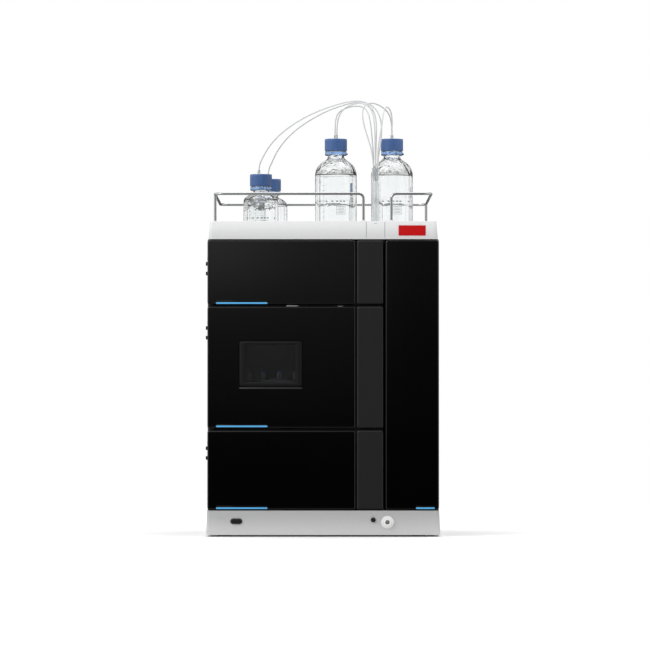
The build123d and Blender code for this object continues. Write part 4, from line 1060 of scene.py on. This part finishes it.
    def build_print(self) -> None:
        """Print a plain scale and an empty write-on field on the glass."""
        line = self.print_line
        first, last = self.scale_range
        shares = [first + (last - first) * index / (self.marks - 1) for index in range(self.marks)]
        marks = [(self.scale_turn, share * self.shoulder, self.mark_widths[index % 2], line)
                 for index, share in enumerate(shares)]
        width, height, rise = self.field_share
        width, height, rise = width * self.radius, height * self.shoulder, rise * self.shoulder
        for way in (-0.5, 0.5):
            marks.append((self.field_turn, rise + way * height, width, line))
            turn = self.field_turn + way * math.degrees(width / self.radius)
            marks.append((turn, rise, line, height))
        for row in range(self.rows):
            place = rise + (row - self.rows // 2) * self.row_pitch * height
            marks.append((self.field_turn, place, self.row_widths[row % 2] * width,
                          self.row_weight * line))
        marks += [(turn, self.dot_rise * self.shoulder, *self.dot_size) for turn in self.dot_turns]
        points, faces = [], []
        for mark in marks:
            patch = self.printed_patch(*mark)
            faces += [(a, a + 2, a + 3, a + 1)
                      for a in range(len(points), len(points) + len(patch) - 2, 2)]
            points += patch
        sheet = start_mesh(self.node + "_print", points, [], faces)
        ink = sheet.modifiers.new("ink", "SOLIDIFY")
        ink.thickness = self.print_depth
        finish_mesh(sheet, self.node + "_print", "tower", Skin.PRINT_GREY)

    def build(self) -> None:
        """Build the bottle's pieces."""
        self.build_glass()
        self.build_solvent()
        self.build_pour_ring()
        self.build_print()


BOTTLES = [
    SolventBottle("bottle_half_litre_front", 99.5 * MM, 106.0 * MM),
    SolventBottle("bottle_half_litre_rear", 99.5 * MM, 104.0 * MM),
    SolventBottle("bottle_litre_left", 155.8 * MM, 158.5 * MM),
    SolventBottle("bottle_litre_right", 155.8 * MM, 157.0 * MM),
]


# ---- bare plate on the rack
@dataclass
class RackPlate:
    """Plain coloured plate on the sloping front of the rack, with nothing on it."""

    left: float = 180.0 * MM
    right: float = 244.8 * MM
    bottom: float = 8.4 * MM
    top: float = 33.0 * MM
    thickness: float = 1.2 * MM
    edge: float = 0.45 * MM
    proud_share: float = 0.4
    slope: float = 5.0

    def build(self) -> None:
        """Lay the plate on the slope with rounded edges."""
        rack = low("rack_tray")
        width = self.right - self.left
        height = self.top - self.bottom
        rise = (self.top + self.bottom) / 2
        slope = math.radians(self.slope)
        deselect_all()
        bpy.ops.mesh.primitive_cube_add(size=1.0)
        plate = bpy.context.object
        plate.scale = (width, self.thickness, height)
        bpy.ops.object.transform_apply(location=False, rotation=False, scale=True)
        bpy.ops.object.mode_set(mode="EDIT")
        bpy.ops.mesh.select_all(action="SELECT")
        bpy.ops.mesh.bevel(offset=self.edge, segments=3, affect="EDGES")
        bpy.ops.object.mode_set(mode="OBJECT")
        plate.rotation_euler = (-slope, 0.0, 0.0)
        plate.location = (TOWER_X + (self.left + self.right) / 2,
                          rack.y + rise * math.tan(slope) - self.proud_share * self.thickness,
                          rack.z + rise)
        finish_mesh(plate, "rack_plate", "tower", Skin.PLATE_RED)


@dataclass
class GuideSeamShades:
    """Painted shade: a dark strip on each side of the rack's guide block where the seam's shade
    falls, and a dark patch for the shade of the finger notch at its top.
    """

    node: str = "rack_guide_block"
    width: float = 0.8 * MM
    bottom: float = 3.5 * MM
    top: float = 41.0 * MM
    slope: float = 5.0
    proud: float = 0.15 * MM
    depth: float = 1.0 * MM
    edge: float = 0.08 * MM
    round_share: float = 0.46
    notch_width: float = 6.5 * MM
    notch_drop: float = 5.6 * MM

    def lay(self, name: str, side: float, rise: float, size: tuple[float, float]) -> None:
        """Lay one thin strip on the rack's sloping front.

        Args:
            name: The strip's name.
            side: Its middle's place along the rack.
            rise: Its middle's height above the rack's lower edge.
            size: Its width and height.
        """
        rack = low("rack_tray")
        slope = math.radians(self.slope)
        place = Vector((side, rack.y + rise * math.tan(slope) - self.proud, rack.z + rise))
        outline = rounded_outline(Vector(), *size, self.round_share * min(size), 3)
        strip = plate_from(name, [outline], self.depth, self.edge)
        strip.rotation_euler = (-slope, 0.0, 0.0)
        strip.location = place
        # A dark strip laid on the face as painted shade for a seam or the notch.
        finish_mesh(strip, name, "tower", Skin.RUBBER)

    def build(self) -> None:
        """Lay the painted shade of both seams and of the notch."""
        lo, hi = low(self.node), high(self.node)
        span = self.top - self.bottom
        for name, side in (("guide_seam_shade_left", lo.x), ("guide_seam_shade_right", hi.x)):
            self.lay(name, side, self.bottom + span / 2, (self.width, span))
        self.lay("guide_notch_shade", (lo.x + hi.x) / 2, RACK_TOP - low("rack_tray").z - self.notch_drop,
                 (self.notch_width, self.width))


# ---- wire rail of the rack
@dataclass
class WireRail:
    """Bent wire rail round the bottles, with two legs in front and a post at two corners."""

    wire: float = 3.25 * MM
    bend: float = 12.0 * MM
    corner: float = 20.0 * MM
    left_leg: float = 96.4 * MM
    right_leg: float = 163.2 * MM
    drop: float = 3.0 * MM
    arc_steps: int = 10

    def rounded(self, corners: list[Vector], radii: list[float]) -> list[Vector]:
        """Round the inner corners of a path.

        Args:
            corners: The path's corners.
            radii: One radius for each inner corner.

        Returns:
            The path's points.
        """
        path = [corners[0]]
        for before, at, after, radius in zip(corners, corners[1:], corners[2:], radii):
            back, ahead = (before - at).normalized(), (after - at).normalized()
            hub = at + (back + ahead) * radius
            for step in range(self.arc_steps + 1):
                turn = math.pi / 2 * step / self.arc_steps
                path.append(hub - ahead * radius * math.cos(turn) - back * radius * math.sin(turn))
        return path + [corners[-1]]

    def build(self) -> None:
        """Bend the wire and join the posts to it."""
        lo, hi = low("bottle_rail"), high("bottle_rail")
        left, right = lo.x + self.wire, hi.x - self.wire
        front, rear = lo.y + self.wire, hi.y - self.wire
        top = hi.z - self.wire - self.drop
        legs = TOWER_X + self.left_leg, TOWER_X + self.right_leg
        corners = [Vector(c) for c in (
            (legs[0], front, lo.z), (legs[0], front, top), (left, front, top), (left, rear, top),
            (right, rear, top), (right, front, top), (legs[1], front, top), (legs[1], front, lo.z))]
        ring = self.rounded(corners, [self.bend, *[self.corner] * 4, self.bend])
        posts = [[Vector((x, y, lo.z)), Vector((x, y, top))]
                 for x, y in ((left, front + self.corner), (right, rear - self.corner))]
        rail = round_wire("wire_rail", self.wire, "POLY", [ring, *posts])
        select_only(rail)
        bpy.ops.object.convert(target="MESH")
        rail = bpy.context.object
        finish_mesh(rail, "wire_rail", "tower", Skin.BRIGHT_WIRE, 50.0)
        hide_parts("bottle_rail")
        for index, leg in enumerate(legs):
            self.build_socket(f"leg_socket_{index + 1}", Vector((leg, front, RACK_TOP)))

    def build_socket(self, name: str, foot: Vector) -> None:
        """Put a low collar round a leg where it enters the rack.

        Args:
            name: The collar's name.
            foot: Where the leg meets the rack's rim.
        """
        inner = self.wire - 0.2 * MM
        profile = [(inner, -0.6 * MM), (5.4 * MM, -0.6 * MM), (5.2 * MM, 0.9 * MM),
                   (4.6 * MM, 1.9 * MM), (self.wire + 0.5 * MM, 2.6 * MM), (inner, 2.6 * MM),
                   (inner, -0.6 * MM)]
        collar = spin_profile(name, profile, foot, 32)
        finish_mesh(collar, name, "tower", Skin.RACK_GREY)


# ---- flat pieces on the doors
def rounded_outline(centre: Vector, width: float, height: float, corner: float,
                    steps: int = 6) -> list[Vector]:
    """Outline of an upright rounded rectangle that faces the front.

    Args:
        centre: Its middle.
        width: Along X.
        height: Along Z.
        corner: Radius of its corners.
        steps: Spans of one corner.

    Returns:
        Its points, anticlockwise seen from the front.
    """
    points = []
    for quarter, (way_x, way_z) in enumerate(((1, -1), (1, 1), (-1, 1), (-1, -1))):
        hub = centre + Vector((way_x * (width / 2 - corner), 0, way_z * (height / 2 - corner)))
        for step in range(steps + 1):
            turn = math.pi / 2 * (quarter - 1 + step / steps)
            points.append(hub + Vector((corner * math.cos(turn), 0, corner * math.sin(turn))))
    return points


def plate_from(name: str, outlines: list[list[Vector]], depth: float,
               edge: float) -> bpy.types.Object:
    """Thicken one outline, or the ring between two, into a plate with softened front edges.

    Args:
        name: The object's name.
        outlines: The outer outline, and the inner one of a ring.
        depth: How far the plate reaches back from its outline.
        edge: Radius of its softened edges.

    Returns:
        The plate.
    """
    points, edges = [], []
    for outline in outlines:
        base, count = len(points), len(outline)
        edges += [(base + index, base + (index + 1) % count) for index in range(count)]
        points += outline
    plate = start_mesh(name, points, edges, [])
    bpy.ops.object.mode_set(mode="EDIT")
    bpy.ops.mesh.select_all(action="SELECT")
    if len(outlines) == 1:
        bpy.ops.mesh.edge_face_add()
    else:
        bpy.ops.mesh.bridge_edge_loops()
    bpy.ops.mesh.select_all(action="SELECT")
    bpy.ops.mesh.extrude_region_move(TRANSFORM_OT_translate={"value": (0, depth, 0)})
    bpy.ops.mesh.select_all(action="SELECT")
    bpy.ops.mesh.normals_make_consistent(inside=False)
    bpy.ops.object.mode_set(mode="OBJECT")
    bevel = plate.modifiers.new("softened", "BEVEL")
    bevel.width = edge
    bevel.segments = 2
    bevel.angle_limit = math.radians(50)
    return plate


@dataclass
class StatusLight:
    """Thin light line near a door's lower edge, with the dark bed that it lies in."""

    node: str
    body: str
    shift: float
    flange: float = 3.0 * MM
    bed_height: float = 5.0 * MM
    bed_setback: float = 0.3 * MM
    bed_trim: float = 0.1 * MM
    line_height: float = 3.9 * MM
    proud: float = 0.2 * MM

    def build(self) -> None:
        """Build the bed and the line."""
        lo, hi = low(self.node), high(self.node)
        width = hi.x - lo.x - 2 * self.flange
        centre = Vector(((lo.x + hi.x) / 2, lo.y + self.bed_setback,
                         lo.z + self.bed_height / 2))
        outline = rounded_outline(centre, width - self.bed_trim, self.bed_height - self.bed_trim,
                                  self.bed_height / 2 - self.bed_trim)
        bed = plate_from(self.node + "_bed", [outline], 2.5 * MM, 0.1 * MM)
        finish_mesh(bed, self.node + "_bed", self.body, Skin.GLOSS_BLACK)
        centre += Vector((0, -self.proud, -self.shift))
        outline = rounded_outline(centre, width, self.line_height,
                                  self.line_height / 2 - 0.05 * MM)
        line = plate_from(self.node + "_line", [outline], 2.0 * MM, 0.4 * MM)
        finish_mesh(line, self.node + "_line", self.body, Skin.LIGHT_BLUE)
        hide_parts(self.node)


STATUS_LIGHTS = [
    StatusLight("pump_light_bar", "pump_door", 3.2 * MM),
    StatusLight("sampler_light_bar", "sampler_door", 2.0 * MM),
    StatusLight("detector_light_bar", "detector_door", 3.8 * MM),
    StatusLight("column_light_bar", "column_door", 3.2 * MM),
]


@dataclass
class WindowTrim:
    """Printed border of the sampler's window and the polished lip under it."""

    node: str = "sampler_window"
    body: str = "sampler_door"
    clear_width: float = 117.0 * MM
    clear_height: float = 90.0 * MM
    clear_lift: float = 2.0 * MM
    clear_corner: float = 1.5 * MM
    corner: float = 6.0 * MM
    margin: float = 1.5 * MM
    lip_height: float = 3.0 * MM
    lip_inset: float = 1.0 * MM
    lip_depth: float = 1.4 * MM
    lip_drop: float = 1.0 * MM
    lip_proud: float = 0.35 * MM
    border_proud: float = 0.12 * MM
    border_depth: float = 0.3 * MM

    def build(self) -> None:
        """Build the border and the lip."""
        lo, hi = low(self.node), high(self.node)
        centre = Vector(((lo.x + hi.x) / 2, lo.y - self.border_proud, (lo.z + hi.z) / 2))
        outer = rounded_outline(centre, hi.x - lo.x - 2 * self.margin,
                                hi.z - lo.z - 2 * self.margin, self.corner)
        inner = rounded_outline(centre + Vector((0, 0, self.clear_lift)), self.clear_width,
                                self.clear_height, self.clear_corner)
        border = plate_from("window_border", [outer, inner], self.border_depth, 0.08 * MM)
        finish_mesh(border, "window_border", self.body, Skin.PANE_BORDER)
        place = Vector((centre.x, DOORS_FRONT - self.lip_proud,
                        lo.z - self.lip_drop - self.lip_height / 2))
        outline = rounded_outline(place, hi.x - lo.x - 2 * self.lip_inset, self.lip_height,
                                  self.lip_height / 2 - 0.05 * MM)
        lip = plate_from("window_lip", [outline], self.lip_depth, 0.5 * MM)
        finish_mesh(lip, "window_lip", self.body, Skin.EDGE_BRIGHT)


@dataclass
class LatchTongue:
    """Small polished tongue of a door latch, seen as a glint in the seam above a door."""

    door: str
    body: str
    side: float
    width: float
    height: float = 2.6 * MM
    depth: float = 9.0 * MM
    setback: float = 6.5 * MM
    sunk: float = 0.5 * MM

    def build(self) -> None:
        """Build the tongue on the door's upper edge."""
        rise = high(self.door).z + self.height / 2 - self.sunk
        centre = Vector((TOWER_X + self.side, DOORS_FRONT + self.setback, rise))
        tongue = plate_from(self.door + "_latch", [rounded_outline(
            centre, self.width, self.height, self.height / 2 - 0.1 * MM, 5)], self.depth, 0.8 * MM)
        finish_mesh(tongue, self.door + "_latch", self.body, Skin.LATCH_BRIGHT)


LATCHES = [
    LatchTongue("sampler_door_panel", "sampler_door", -74.0 * MM, 27.0 * MM),
    LatchTongue("sampler_door_panel", "sampler_door", 41.0 * MM, 12.0 * MM, 1.6 * MM),
]


@dataclass
class VialCaps:
    """Blue crimp caps on the ring of sample vials."""

    count: int = 20
    sides: int = 28
    ring: float = 122.0 * MM
    radius: float = 5.9 * MM
    height: float = 6.0 * MM
    rim_share: float = 0.35
    septum_drop: float = 0.7 * MM
    lift: float = 0.3 * MM

    def build(self) -> None:
        """Make one cap and copy it round the ring."""
        hub = middle("sampler_carousel")
        top = high("sample_vials").z
        deselect_all()
        bpy.ops.mesh.primitive_cylinder_add(
            vertices=self.sides, radius=self.radius, depth=self.height,
            location=(hub.x + self.ring, hub.y, top - self.height / 2 + self.lift))
        cap = bpy.context.object
        bpy.ops.object.mode_set(mode="EDIT")
        bpy.ops.mesh.select_all(action="DESELECT")
        bpy.ops.object.mode_set(mode="OBJECT")
        for face in cap.data.polygons:
            face.select = face.normal.z > 0.9
        bpy.ops.object.mode_set(mode="EDIT")
        bpy.ops.mesh.inset(thickness=self.rim_share * self.radius)
        bpy.ops.transform.translate(value=(0, 0, -self.septum_drop))
        bpy.ops.object.mode_set(mode="OBJECT")
        bpy.ops.object.transform_apply(location=True, rotation=True, scale=True)
        first = cap.data.copy()
        for index in range(1, self.count):
            turn = (Matrix.Translation((hub.x, hub.y, 0))
                    @ Matrix.Rotation(2 * math.pi * index / self.count, 4, "Z")
                    @ Matrix.Translation((-hub.x, -hub.y, 0)))
            copy = bpy.data.objects.new("vial_cap", first.copy())
            copy.data.transform(turn)
            bpy.context.scene.collection.objects.link(copy)
            copy.select_set(True)
        cap.select_set(True)
        bpy.context.view_layer.objects.active = cap
        bpy.ops.object.join()
        finish_mesh(cap, "vial_caps", "carousel", Skin.SEPTUM_BLUE)


def main() -> None:
    """Build the studio and every piece, in order."""
    logging.basicConfig(level=logging.INFO, format="%(message)s")
    Studio().build()
    CarriedNodes().dress()
    for part in (*SOLVENT_LINES, *BOTTLES, RackPlate(), GuideSeamShades(), WireRail(), *STATUS_LIGHTS,
                 WindowTrim(), *LATCHES, VialCaps()):
        part.build()


if __name__ == "__main__":
    main()
